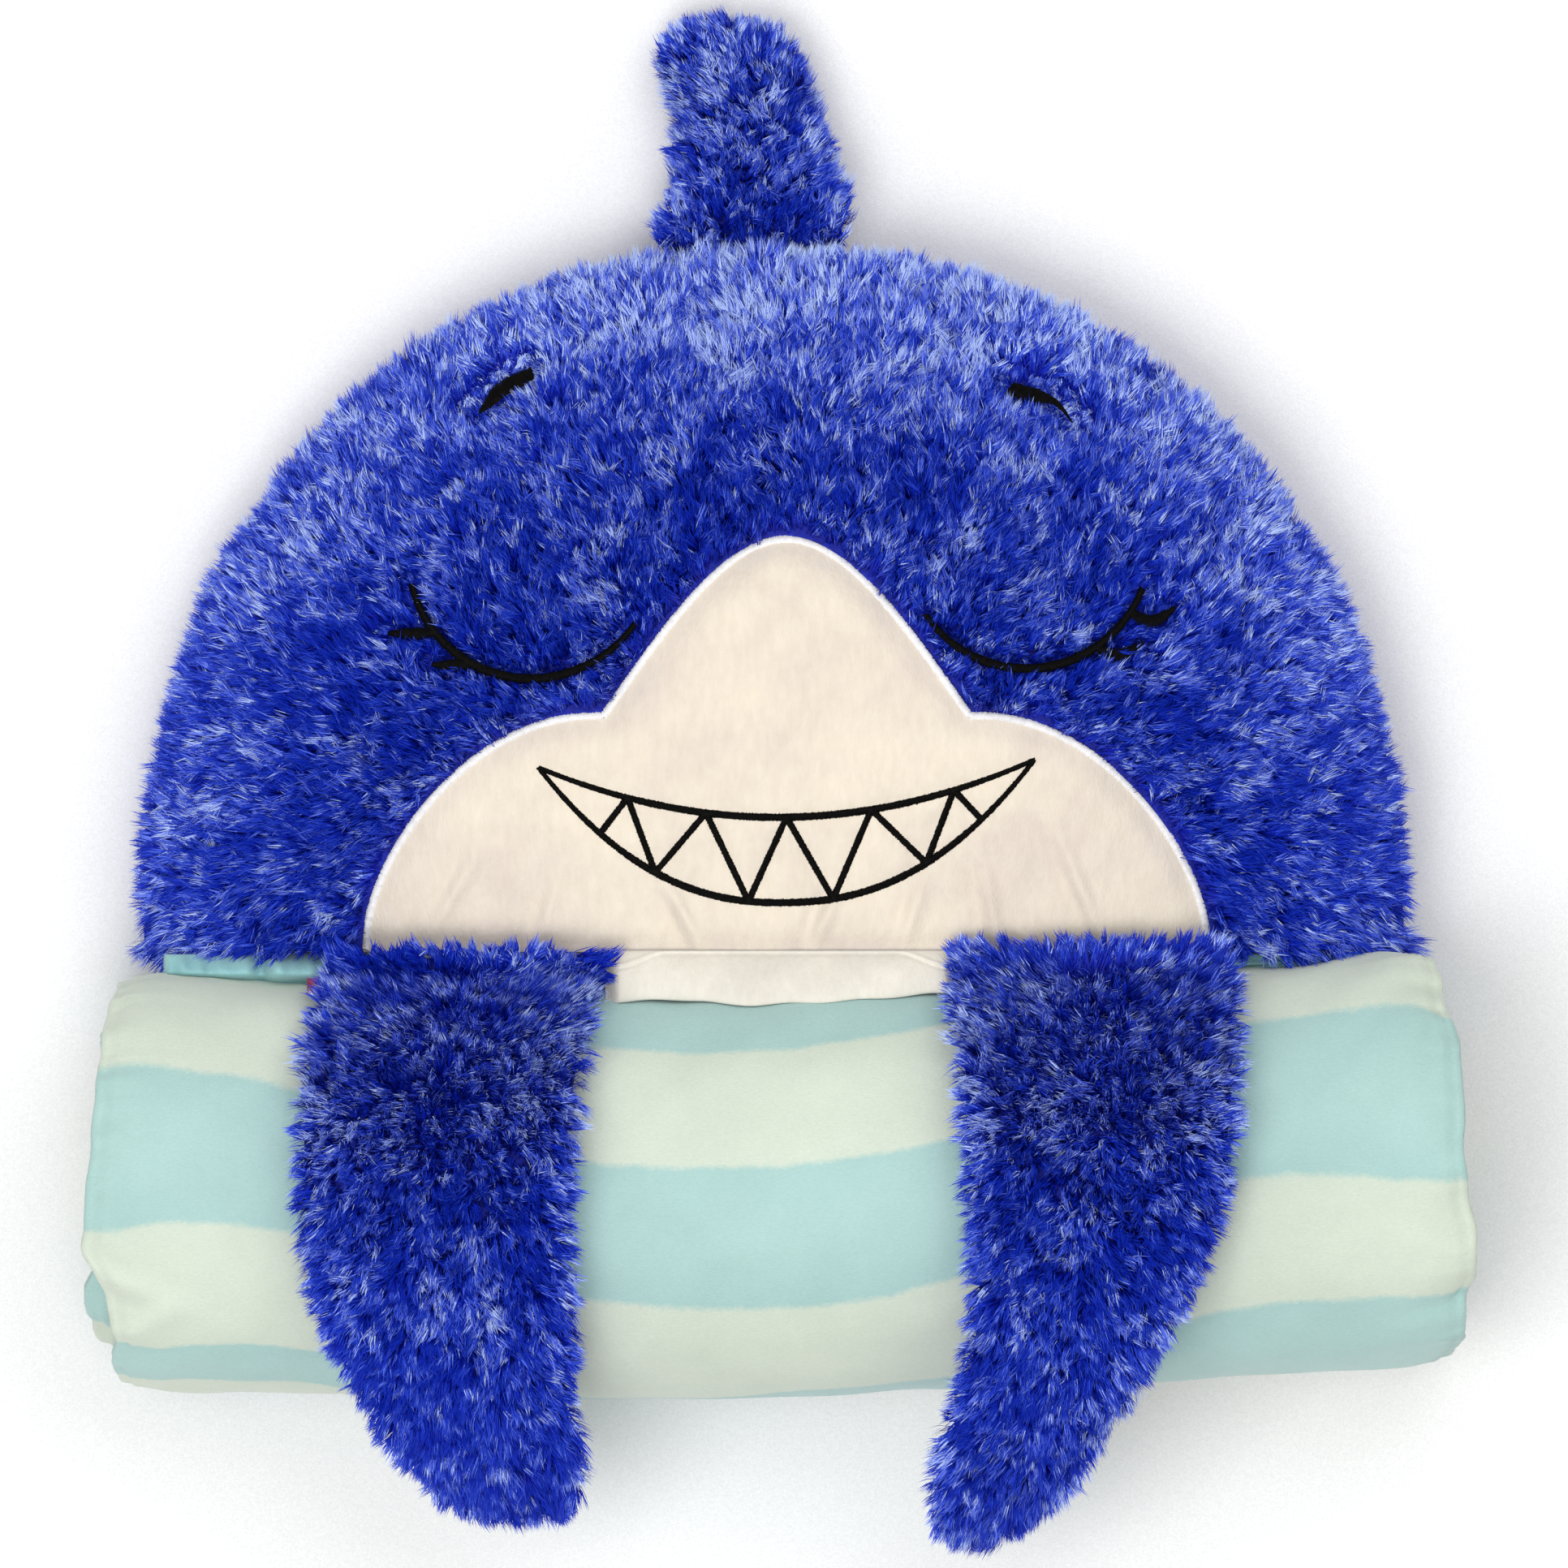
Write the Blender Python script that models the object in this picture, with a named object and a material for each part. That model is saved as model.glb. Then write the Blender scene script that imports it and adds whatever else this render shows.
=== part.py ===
"""A children's plush shark slumber bag, rolled up and lying on its back.

Blender 4.5, metres. +Z is up, +Y runs from the roll to the fin, +X is the right-hand side seen from
above. The origin is the middle of the bottom of the whole object's box.
"""

import math

import bmesh
import bpy
from mathutils import Matrix, Vector
from mathutils.geometry import interpolate_bezier

GAP = 0.0004  # left between pieces that touch

# Head pillow: half of a rounded disc, whose straight side is the neck seam.
HEAD_X = -0.004
NECK_Y = -0.0810
HEAD_HALF_WIDTH = 0.299
HEAD_LENGTH = 0.330
HEAD_POWER = 2.2  # superellipse: 2 would be an ellipse
SEAM_Z = 0.045  # the seam around the pillow's edge
CROWN_RISE = 0.080  # from that seam to the top of the face
NECK_DIP = 0.017  # how much lower the face is at the neck seam
NECK_DIP_REACH = 0.070
PLUSH = 0.010  # cloth and pile
BACK_CLOTH = 0.0015
FLAT_SHARE = 0.72  # the part of the back that lies flat
FACE_DEPTH = 0.005  # how far the face lies below the tips of the pile
FACE_CLOTH = 0.0035
NECK_CLOTH = 0.0015
FILLING_CLEARANCE = 0.0035  # clears the flats of the cloth around the filling

# Sewn drawing on the face.
FEATURE_X = 0.002
FEATURE_TILT = 0.016  # the drawing climbs a little towards +X
THREAD = 0.0012  # height of the satin stitch
STITCH_LIFT = 0.0010  # clears the flats between the points of the cloth below
LINE_HALF = 0.0014
MOUTH_HALF = 0.117
MOUTH_TIP_Y = 0.0067
UPPER_LIP_DROP = 0.0253
LOWER_LIP_DROP = 0.0656
TEETH_X = (-0.088, -0.075, -0.062, -0.038, -0.018, 0.000, 0.022, 0.040, 0.066, 0.079, 0.092)
TEETH_INSET = 0.0050
EYE_X = 0.1175
EYE_Y = 0.1075
EYE_RADIUS = 0.0590
EYE_INNER = math.radians(-56)
EYE_OUTER = math.radians(70)
EYE_LINE_HALF = 0.0018
LASHES = ((math.radians(33), 0.017, 0.004), (math.radians(52), 0.020, 0.001))  # where, length, rise
BROW_X = 0.1165
BROW_Y = 0.1680
BROW_RADIUS = 0.0235
BROW_HALF = 0.0030

# Sack: six layers of cloth and batting, rolled up together.
ROLL_HALF_LENGTH = 0.3295
ROLL_END_TAPER = 0.020  # the side towards the head is this much shorter at each end
ROLL_Y = -0.190
ROLL_Z = 0.076
ROLL_HALF_DEPTH = 0.098
ROLL_HALF_HEIGHT = 0.087  # cut off flat where it would go below the ground
ROLL_SLANT = 0.0155
ROLL_REACH = 0.090  # mean radius, at which the layers have their stated thickness
ROLL_START = math.radians(-75)
ROLL_STEPS = 16  # points in each turn, at the same angles every time round
ROLL_POINTS = 62
ROLL_PITCH = 0.0172
TUCK_FROM = 0.79  # the share of each turn after which a layer dips under the next
COVER = 0.0008
LINING = 0.0007
BATTING = (ROLL_PITCH - 2 * COVER - 2 * LINING - 6 * GAP) / 2
SIDE_SEAM = 0.0012

# Neck gusset, chin strip and label, between the head and the roll.
GUSSET_HALF = 0.285
CHIN_HALF = 0.0765
CHIN_LIFT = 0.010
LABEL_X = -0.2235

# Fin.
FIN_Y = 0.2520
FIN_AXIS_Z = 0.040
FIN_TIP_Y = 0.3640
FIN_LEFT = (-0.058, -0.057, -0.0525, -0.0505, -0.0515, -0.0555, -0.056, -0.042)
FIN_RIGHT = (0.026, 0.029, 0.0285, 0.0225, 0.0165, 0.0105, 0.000, -0.014)
FIN_HALF = (0.0020, 0.0080, 0.0150, 0.0205, 0.0215, 0.0195, 0.0145, 0.0060)
FIN_UNDER = (0.0380, 0.0280, 0.0150, 0.0040, 0.0000, 0.0000, 0.0020, 0.0090)
FIN_AT = (0.0, 0.09, 0.22, 0.42, 0.62, 0.80, 0.93, 1.0)

# Flippers: where each row of points lies, its two edges and half its thickness.
FLIPPER_AXIS_Y = -0.0845
FLIPPER_AXIS_Z = 0.1040
FLIPPER_Y = -0.0850
CONTACT_Y = -0.1000  # from here on the flipper lies on the roll
FLIPPER_AT = (0.0, 0.05, 0.14, 0.26, 0.40, 0.55, 0.69, 0.81, 0.91, 0.97, 1.0)
FLIPPER_HALF = (0.0045, 0.0070, 0.0115, 0.0160, 0.0185, 0.0190, 0.0185, 0.0170, 0.0135, 0.0090, 0.0050)
LEFT_TIP_Y = -0.3520
LEFT_OUTER = (-0.210, -0.2145, -0.221, -0.2265, -0.2275, -0.223, -0.211, -0.195, -0.175, -0.158, -0.145)
LEFT_INNER = (-0.082, -0.0865, -0.0915, -0.0955, -0.099, -0.0995, -0.0985, -0.098, -0.095, -0.097, -0.107)
RIGHT_TIP_Y = -0.3640
RIGHT_OUTER = (0.2085, 0.211, 0.2135, 0.2135, 0.2075, 0.1935, 0.1745, 0.1545, 0.1345, 0.117, 0.104)
RIGHT_INNER = (0.082, 0.0815, 0.082, 0.0845, 0.0875, 0.0885, 0.0855, 0.0785, 0.0725, 0.0725, 0.079)
FLIPPER_PLUSH_SHARE = 0.42
FLIPPER_UNDER_SHARE = 0.16
REST_CLEARANCE = 0.0030
DROOP = 2.9  # how fast the free end bends down, in metres for each square metre


# ---------------------------------------------------------------- materials


def cloth(name, colour, roughness):
    """A plain cloth material."""
    material = bpy.data.materials.new(name)
    material.use_nodes = True
    shader = material.node_tree.nodes["Principled BSDF"]
    shader.inputs["Base Color"].default_value = (*colour, 1.0)
    shader.inputs["Roughness"].default_value = roughness
    shader.inputs["Metallic"].default_value = 0.0
    material.diffuse_color = (*colour, 1.0)
    return material


# ---------------------------------------------------------------- solids


def clear_scene():
    for item in list(bpy.data.objects):
        bpy.data.objects.remove(item, do_unlink=True)


def pivot(name, place):
    """An empty on a joint's axis, to which the moving pieces are parented."""
    empty = bpy.data.objects.new(name, None)
    empty.location = place
    bpy.context.scene.collection.objects.link(empty)
    return empty


def grid_solid(name, top, bottom, material, holder=None, closed=False):
    """One closed body between two grids of points of the same size.

    The edges of the grids are joined by walls. With closed True the last row is joined to the first.
    Points that coincide are merged, so a grid may shrink to a line or a point at an edge.
    """
    body = bmesh.new()
    upper = [[body.verts.new(point) for point in row] for row in top]
    lower = [[body.verts.new(point) for point in row] for row in bottom]
    rows = len(top)
    columns = len(top[0])
    for i in range(rows if closed else rows - 1):
        k = (i + 1) % rows
        for j in range(columns - 1):
            body.faces.new((upper[i][j], upper[k][j], upper[k][j + 1], upper[i][j + 1]))
            body.faces.new((lower[i][j], lower[i][j + 1], lower[k][j + 1], lower[k][j]))
        body.faces.new((upper[i][0], lower[i][0], lower[k][0], upper[k][0]))
        body.faces.new((upper[k][-1], lower[k][-1], lower[i][-1], upper[i][-1]))
    if not closed:
        for j in range(columns - 1):
            body.faces.new((upper[0][j + 1], lower[0][j + 1], lower[0][j], upper[0][j]))
            body.faces.new((upper[-1][j], lower[-1][j], lower[-1][j + 1], upper[-1][j + 1]))
    bmesh.ops.remove_doubles(body, verts=body.verts, dist=1e-6)
    bmesh.ops.triangulate(body, faces=body.faces, quad_method="FIXED")
    bmesh.ops.dissolve_degenerate(body, dist=1e-6, edges=body.edges)
    bmesh.ops.recalc_face_normals(body, faces=body.faces)
    mesh = bpy.data.meshes.new(name)
    body.to_mesh(mesh)
    body.free()
    mesh.materials.append(material)
    item = bpy.data.objects.new(name, mesh)
    bpy.context.scene.collection.objects.link(item)
    if holder is not None:
        item.parent = holder
        item.matrix_parent_inverse = Matrix.Translation(-holder.location)
    return item


def evenly(start, end, count):
    """count + 1 numbers from start to end."""
    return [start + (end - start) * i / count for i in range(count + 1)]


def ease(share):
    """0 to 1 with a level start and end."""
    share = min(max(share, 0.0), 1.0)
    return share * share * (3 - 2 * share)


# ---------------------------------------------------------------- head


def head_reach(angle, depth=0.0):
    """How far the pillow's outline, depth below its surface, is from the middle of the neck."""
    across = abs(math.cos(angle) / HEAD_HALF_WIDTH) ** HEAD_POWER
    along = abs(math.sin(angle) / HEAD_LENGTH) ** HEAD_POWER
    return (across + along) ** (-1 / HEAD_POWER) - depth


def front_height(x, y, depth=0.0):
    """Height of the pillow's upper side, depth below its surface."""
    along = max(y - NECK_Y, 0.0)
    angle = math.atan2(along, x - HEAD_X)
    share = min(math.hypot(x - HEAD_X, along) / head_reach(angle, depth), 1.0)
    rise = CROWN_RISE - NECK_DIP * math.exp(-((along / NECK_DIP_REACH) ** 2)) - depth
    return SEAM_Z + rise * (1 - share**2.4) ** 0.6


def back_height(share, depth=0.0):
    """Height of the pillow's under side, depth above its surface, at a share of the way to the edge."""
    beyond = max(share - FLAT_SHARE, 0.0) / (1 - FLAT_SHARE)
    return depth + (SEAM_Z - depth) * (1 - math.sqrt(max(1 - beyond * beyond, 0.0)))


def head_point(angle, reach):
    return HEAD_X + reach * math.cos(angle), NECK_Y + reach * math.sin(angle)


def front_row(angle, shares, depth):
    """Points of the upper side along one direction, at shares of the way to the edge."""
    row = []
    for share in shares:
        x, y = head_point(angle, head_reach(angle, depth) * share)
        height = SEAM_Z if share == 1.0 else front_height(x, y, depth)
        row.append(Vector((x, y, height)))
    return row


def back_row(angle, shares, depth):
    row = []
    for share in shares:
        x, y = head_point(angle, head_reach(angle, depth) * share)
        row.append(Vector((x, y, back_height(share, depth))))
    return row


def face_outline():
    """The face panel's outline, from its right end at the neck over the snout to its left end."""
    snout = [Vector((0.0, 0.1127)), Vector((0.030, 0.1127)), Vector((0.060, 0.066)), Vector((0.0864, 0.029))]
    cheek = [Vector((0.0864, 0.029)), Vector((0.145, 0.033)), Vector((0.199, -0.035)), Vector((0.199, NECK_Y))]
    half = interpolate_bezier(*snout, 9)[:-1] + interpolate_bezier(*cheek, 10)
    right = [Vector((FEATURE_X + p.x, p.y)) for p in reversed(half)]
    left = [Vector((FEATURE_X - p.x, p.y)) for p in half[1:]]
    return right + left


def face_rays():
    """The outline as directions and distances from the middle of the neck."""
    rays = []
    for point in face_outline():
        away = point - Vector((HEAD_X, NECK_Y))
        rays.append((max(math.atan2(away.y, away.x), 0.0), away.length))
    return rays


def dome_shares(count, start=0.0):
    """Shares of the way to the edge, closer together where the pillow is steep."""
    first = math.asin(start)
    return [math.sin(a) for a in evenly(first, math.pi / 2, count)]


def build_head(materials, holder):
    rays = face_rays()
    edge = 0.0020  # the plush starts this far outside the face's outline

    top, bottom = [], []
    for angle, reach in rays:
        for rows, depth in ((top, 0.0), (bottom, PLUSH)):
            start = (reach + edge) / head_reach(angle, depth)
            rows.append(front_row(angle, dome_shares(4, start), depth))
    grid_solid("head_front_panel", top, bottom, materials["plush"], holder)

    top, bottom = [], []
    for angle, reach in rays:
        shares = [s * (reach + edge - GAP) for s in evenly(0.0, 1.0, 7)]
        points = [head_point(angle, s) for s in shares]
        top.append([Vector((x, y, front_height(x, y, FACE_DEPTH))) for x, y in points])
        bottom.append([Vector((x, y, front_height(x, y, FACE_DEPTH + FACE_CLOTH))) for x, y in points])
    grid_solid("face_panel", top, bottom, materials["velboa"], holder)

    angles = evenly(0.0, math.pi, 28)
    flat = [0.0, FLAT_SHARE]
    shares = flat + [FLAT_SHARE + (1 - FLAT_SHARE) * s for s in dome_shares(4)[1:]]
    top = [back_row(angle, shares, BACK_CLOTH) for angle in angles]
    bottom = [back_row(angle, shares, 0.0) for angle in angles]
    grid_solid("head_back_panel", bottom, top, materials["back_cloth"], holder)

    inside = PLUSH + FILLING_CLEARANCE
    shares = dome_shares(6)
    top = [front_row(angle, shares, inside) for angle in angles]
    bottom = []
    for row in top:
        heights = [back_height(share, BACK_CLOTH + FILLING_CLEARANCE) for share in shares]
        bottom.append([Vector((p.x, p.y, min(height, p.z))) for p, height in zip(row, heights)])
    grid_solid("head_filling", top, bottom, materials["filling"], holder)

    top, bottom = [], []
    for share in [-s for s in reversed(dome_shares(8)[1:])] + dome_shares(8):
        x = HEAD_X + share * (HEAD_HALF_WIDTH - PLUSH)
        lines = (NECK_Y - GAP - NECK_CLOTH, NECK_Y - GAP)
        high = max(front_height(x, NECK_Y, PLUSH), back_height(abs(share)))
        top.append([Vector((x, y, high)) for y in lines])
        bottom.append([Vector((x, y, back_height(abs(share)))) for y in lines])
    grid_solid("head_neck_panel", top, bottom, materials["back_cloth"], holder)


# ---------------------------------------------------------------- stitching


def on_face(x, y, height):
    """A point of the drawing, height above the face panel."""
    return Vector((x, y, front_height(x, y, FACE_DEPTH) + height))


def on_plush(x, y, height):
    return Vector((x, y, front_height(x, y) + height))


def ribbon(name, left, right, place, material, holder, closed=False):
    """A band of satin stitch between two lines of points, lying on the surface that place gives."""
    high = STITCH_LIFT + THREAD
    top = [[place(p.x, p.y, high), place(q.x, q.y, high)] for p, q in zip(left, right)]
    bottom = [[place(p.x, p.y, STITCH_LIFT), place(q.x, q.y, STITCH_LIFT)] for p, q in zip(left, right)]
    return grid_solid(name, top, bottom, material, holder, closed)


def beside(points, distance, closed=False):
    """The line of points moved sideways, to its left where distance is above 0."""
    count = len(points)
    moved = []
    for i, point in enumerate(points):
        before = points[i - 1] if closed or i else point
        after = points[(i + 1) % count] if closed or i < count - 1 else point
        back = (point - before).normalized() if point != before else (after - point).normalized()
        ahead = (after - point).normalized() if after != point else back
        middle = back + ahead
        side = Vector((-middle.y, middle.x)).normalized()
        lean = max(side.dot(Vector((-ahead.y, ahead.x))), 0.35)
        moved.append(point + side * distance / lean)
    return moved


def lip(x, drop, power):
    """A lip's y at x, before the drawing is tilted."""
    return MOUTH_TIP_Y - drop * (1 - abs(x / MOUTH_HALF) ** power)


def upper_lip(x):
    return lip(x, UPPER_LIP_DROP, 2.0)


def lower_lip(x):
    return lip(x, LOWER_LIP_DROP, 2.3)


def drawn(x, y):
    """A point of the drawing, moved to the middle of the face and tilted."""
    return Vector((FEATURE_X + x, y + FEATURE_TILT * x))


def build_mouth(material, holder):
    end = MOUTH_HALF - 0.005
    places = [end * math.sin(a) for a in evenly(-math.pi / 2, math.pi / 2, 14)]
    lower = [drawn(x, lower_lip(x)) for x in places]
    upper = [drawn(x, upper_lip(x)) for x in reversed(places)]
    loop = lower + upper
    ribbon(
        "mouth_stitching",
        beside(loop, LINE_HALF, True),
        beside(loop, -LINE_HALF, True),
        on_face,
        material,
        holder,
        True,
    )
    line = []
    for i, x in enumerate(TEETH_X):
        y = upper_lip(x) - TEETH_INSET if i % 2 else lower_lip(x) + TEETH_INSET
        line.append(drawn(x, y))
    ribbon("teeth_stitching", beside(line, LINE_HALF), beside(line, -LINE_HALF), on_face, material, holder)


def eye_line(side, angle, radius):
    """A point near a closed eyelid. The angle is measured from straight down, outwards."""
    x = side * (EYE_X + radius * math.sin(angle))
    return drawn(x, EYE_Y - radius * math.cos(angle))


def build_eye(name, side, material, holder):
    """A closed eyelid, with its lashes as points on its outer edge."""
    steps = evenly(EYE_INNER, EYE_OUTER, 14)
    for angle, _, _ in LASHES:
        steps += [angle - 0.045, angle, angle + 0.045]
    inner, outer = [], []
    for angle in sorted(steps):
        inner.append(eye_line(side, angle, EYE_RADIUS - EYE_LINE_HALF))
        edge = eye_line(side, angle, EYE_RADIUS + EYE_LINE_HALF)
        for lash, length, rise in LASHES:
            if angle == lash:
                edge = edge + Vector((side * length, rise))
        outer.append(edge)
    ribbon(name, inner, outer, on_plush, material, holder)


def build_brow(name, side, material, holder):
    """A short crescent, thick at its inner end."""
    inner, outer = [], []
    for share in evenly(0.0, 1.0, 7):
        angle = math.radians(8 + 84 * share)
        half = BROW_HALF * (0.15 + 0.85 * share) * math.sqrt(max(1 - share**6, 0.02))
        for row, radius in ((inner, BROW_RADIUS - half), (outer, BROW_RADIUS + half)):
            row.append(drawn(side * (BROW_X + radius * math.cos(angle)), BROW_Y + radius * math.sin(angle)))
    ribbon(name, inner, outer, on_plush, material, holder)


def build_drawing(materials, holder):
    outline = face_outline()
    build_mouth(materials["black_thread"], holder)
    ribbon(
        "face_border_stitching",
        beside(outline, 0.0022),
        beside(outline, -0.0010),
        on_face,
        materials["white_thread"],
        holder,
    )
    for name, side in (("left", -1), ("right", 1)):
        build_eye(name + "_eye_stitching", side, materials["black_thread"], holder)
        build_brow(name + "_brow_stitching", side, materials["black_thread"], holder)


# ---------------------------------------------------------------- sack


def roll_reach(angle):
    """How far the roll's outside is from its middle line, with its bottom cut flat."""
    across = math.cos(angle) / ROLL_HALF_DEPTH
    upward = math.sin(angle) / ROLL_HALF_HEIGHT
    reach = 1 / math.hypot(across, upward)
    if math.sin(angle) < 0:
        reach = min(reach, ROLL_Z / -math.sin(angle))
    return reach


def roll_point(turn, depth, side, extra=0.0):
    """A point of the spiral at one end of the roll. depth is measured inwards from the outside."""
    angle = ROLL_START - turn * 2 * math.pi
    whole = math.floor(turn + 1e-9)
    wound = ROLL_PITCH * (whole + ease((turn - whole - TUCK_FROM) / (1 - TUCK_FROM)))
    reach = roll_reach(angle) * (1 - (wound + depth) / ROLL_REACH)
    y = ROLL_Y + reach * math.cos(angle)
    z = ROLL_Z + reach * math.sin(angle)
    towards_head = ease((y - ROLL_Y + 0.035) / 0.13)
    x = side * (ROLL_HALF_LENGTH - SIDE_SEAM - ROLL_END_TAPER * towards_head + extra)
    return Vector((x, y + ROLL_SLANT * x, z))


def build_layer(name, depth, thickness, material):
    turns = [i / ROLL_STEPS for i in range(ROLL_POINTS)]
    top = [[roll_point(t, depth, side) for side in (-1, 1)] for t in turns]
    bottom = [[roll_point(t, depth + thickness, side) for side in (-1, 1)] for t in turns]
    grid_solid(name, top, bottom, material)


def build_side_seam(name, side, material):
    """The turned-in edge of both quilts, which closes the layers at one end of the roll."""
    turns = [i / ROLL_STEPS for i in range(ROLL_POINTS)]
    deep = ROLL_PITCH - GAP
    outside = [[roll_point(t, d, side, SIDE_SEAM) for d in (0.0, deep)] for t in turns]
    inside = [[roll_point(t, d, side, GAP) for d in (0.0, deep)] for t in turns]
    grid_solid(name, outside, inside, material)


def build_sack(materials):
    layers = (
        ("back_quilt_cover", COVER, "print"),
        ("back_quilt_batting", BATTING, "filling"),
        ("back_quilt_lining", LINING, "lining"),
        ("front_quilt_lining", LINING, "lining"),
        ("front_quilt_batting", BATTING, "filling"),
        ("front_quilt_cover", COVER, "print"),
    )
    depth = 0.0
    for name, thickness, slot in layers:
        build_layer(name, depth, thickness, materials[slot])
        depth += thickness + GAP
    build_side_seam("left_side_seam", -1, materials["print"])
    build_side_seam("right_side_seam", 1, materials["print"])


def roll_top(x, y):
    """Height of the roll's upper side."""
    away = (y - ROLL_SLANT * x - ROLL_Y) / ROLL_HALF_DEPTH
    return ROLL_Z + ROLL_HALF_HEIGHT * math.sqrt(max(1 - away * away, 0.0))


def roll_flank(x, z):
    """The y of the roll's side towards the head."""
    rise = (z - ROLL_Z) / ROLL_HALF_HEIGHT
    return ROLL_Y + ROLL_SLANT * x + ROLL_HALF_DEPTH * math.sqrt(max(1 - rise * rise, 0.0))


def build_gusset(material):
    """The gathered cloth that fills the crease between the head and the roll, and its flat end below."""
    head_side = NECK_Y - 2 * GAP - NECK_CLOTH
    top, bottom = [], []
    for x in evenly(-GUSSET_HALF, GUSSET_HALF, 8):
        upper, lower = [], []
        for z in (0.074, 0.060, 0.045, 0.030):
            upper.append(Vector((x, head_side, z)))
            lower.append(Vector((x, min(roll_flank(x, z) + 2 * GAP, head_side - 0.002), z - 0.003)))
        top.append(upper)
        bottom.append(lower)
    grid_solid("neck_gusset", top, bottom, material)


def build_chin(material):
    """The padded strip between the flippers, from the neck seam onto the roll."""
    top, bottom = [], []
    for x in evenly(-CHIN_HALF, CHIN_HALF, 6):
        upper, lower = [], []
        for share in evenly(0.0, 1.0, 5):
            y = FLIPPER_Y - 0.0235 * share
            rest = max(roll_top(x, y) + REST_CLEARANCE, FLIPPER_AXIS_Z - 0.004 + 0.3 * share * CHIN_LIFT)
            puff = CHIN_LIFT * (0.25 + 0.75 * math.sin(math.pi * min(share * 0.9 + 0.05, 1.0)))
            lower.append(Vector((x, y, rest)))
            upper.append(Vector((x, y, rest + puff)))
        top.append(upper)
        bottom.append(lower)
    grid_solid("chin_strip", top, bottom, material)


def build_label(material):
    """A small blank tab, sewn in beside the left flipper."""
    y = NECK_Y - 0.0050
    flank = roll_flank(LABEL_X, ROLL_Z) + 0.001
    corners = ((LABEL_X - 0.004, y), (LABEL_X + 0.004, y))
    top = [[Vector((x, near, 0.0835)) for x, near in corners], [Vector((x, flank, 0.0865)) for x, _ in corners]]
    bottom = [[p - Vector((0.0, 0.0, 0.0008)) for p in row] for row in top]
    grid_solid("care_label", top, bottom, material)


# ---------------------------------------------------------------- fin and flippers


def half_ring(middle, half_width, half_height, sign, count):
    """Points of the upper (sign 1) or lower (sign -1) half of an oval that lies across the piece."""
    row = []
    for angle in evenly(0.0, math.pi, count):
        rise = sign * half_height * math.sin(angle)
        row.append(middle + Vector((half_width * math.cos(angle), 0.0, rise)))
    return row


def stuffed(names, rows, slots, shares, materials, holder):
    """An upper panel, an under panel and a filling, from rows of (middle, half width, half height)."""
    upper_name, under_name, filling_name = names
    shells = ((upper_name, 1, slots[0], shares[0]), (under_name, -1, slots[1], shares[1]))
    lift = Vector((0.0, 0.0, GAP / 2))
    for name, sign, slot, share in shells:
        outside, inside = [], []
        for middle, wide, high in rows:
            seam = middle + sign * lift
            outside.append(half_ring(seam, wide, high, sign, 8))
            inside.append(half_ring(seam, wide - share * high, high * (1 - share), sign, 8))
        grid_solid(name, outside, inside, materials[slot], holder)
    top, bottom = [], []
    for middle, wide, high in rows:
        wide_inside = wide - max(shares) * high - 2 * GAP
        top.append(half_ring(middle, wide_inside, high * (1 - shares[0]) - 2 * GAP, 1, 8))
        bottom.append(half_ring(middle, wide_inside, high * (1 - shares[1]) - 2 * GAP, -1, 8))
    grid_solid(filling_name, top, bottom, materials["filling"], holder)


def build_fin(materials, holder):
    rows = []
    for at, left, right, half, under in zip(FIN_AT, FIN_LEFT, FIN_RIGHT, FIN_HALF, FIN_UNDER):
        y = FIN_Y + (FIN_TIP_Y - FIN_Y) * at
        rows.append((Vector(((left + right) / 2, y, under + half + GAP / 2)), (right - left) / 2, half))
    names = ("fin_front_panel", "fin_back_panel", "fin_filling")
    stuffed(names, rows, ("plush", "plush"), (0.3, 0.3), materials, holder)


def flipper_under(x, y):
    """Height of a flipper's under side: up from its seam, over the roll, then free."""
    if y > CONTACT_Y:
        share = (y - CONTACT_Y) / (FLIPPER_Y - CONTACT_Y)
        high = roll_top(x, CONTACT_Y) + REST_CLEARANCE
        return high + (FLIPPER_AXIS_Z - 0.004 - high) * share
    if y > ROLL_Y:
        return roll_top(x, y) + REST_CLEARANCE
    return roll_top(x, ROLL_Y) + REST_CLEARANCE - DROOP * (y - ROLL_Y) ** 2


def build_flipper(side, tip_y, one_edge, other_edge, materials, holder):
    rows = []
    for at, a, b, half in zip(FLIPPER_AT, one_edge, other_edge, FLIPPER_HALF):
        y = FLIPPER_Y + (tip_y - FLIPPER_Y) * at
        middle_x = (a + b) / 2
        rows.append((Vector((middle_x, y, flipper_under(middle_x, y) + half)), abs(a - b) / 2, half))
    names = tuple(f"{side}_flipper_{part}" for part in ("upper_panel", "under_panel", "filling"))
    shares = (FLIPPER_PLUSH_SHARE, FLIPPER_UNDER_SHARE)
    stuffed(names, rows, ("plush", "back_cloth"), shares, materials, holder)


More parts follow.
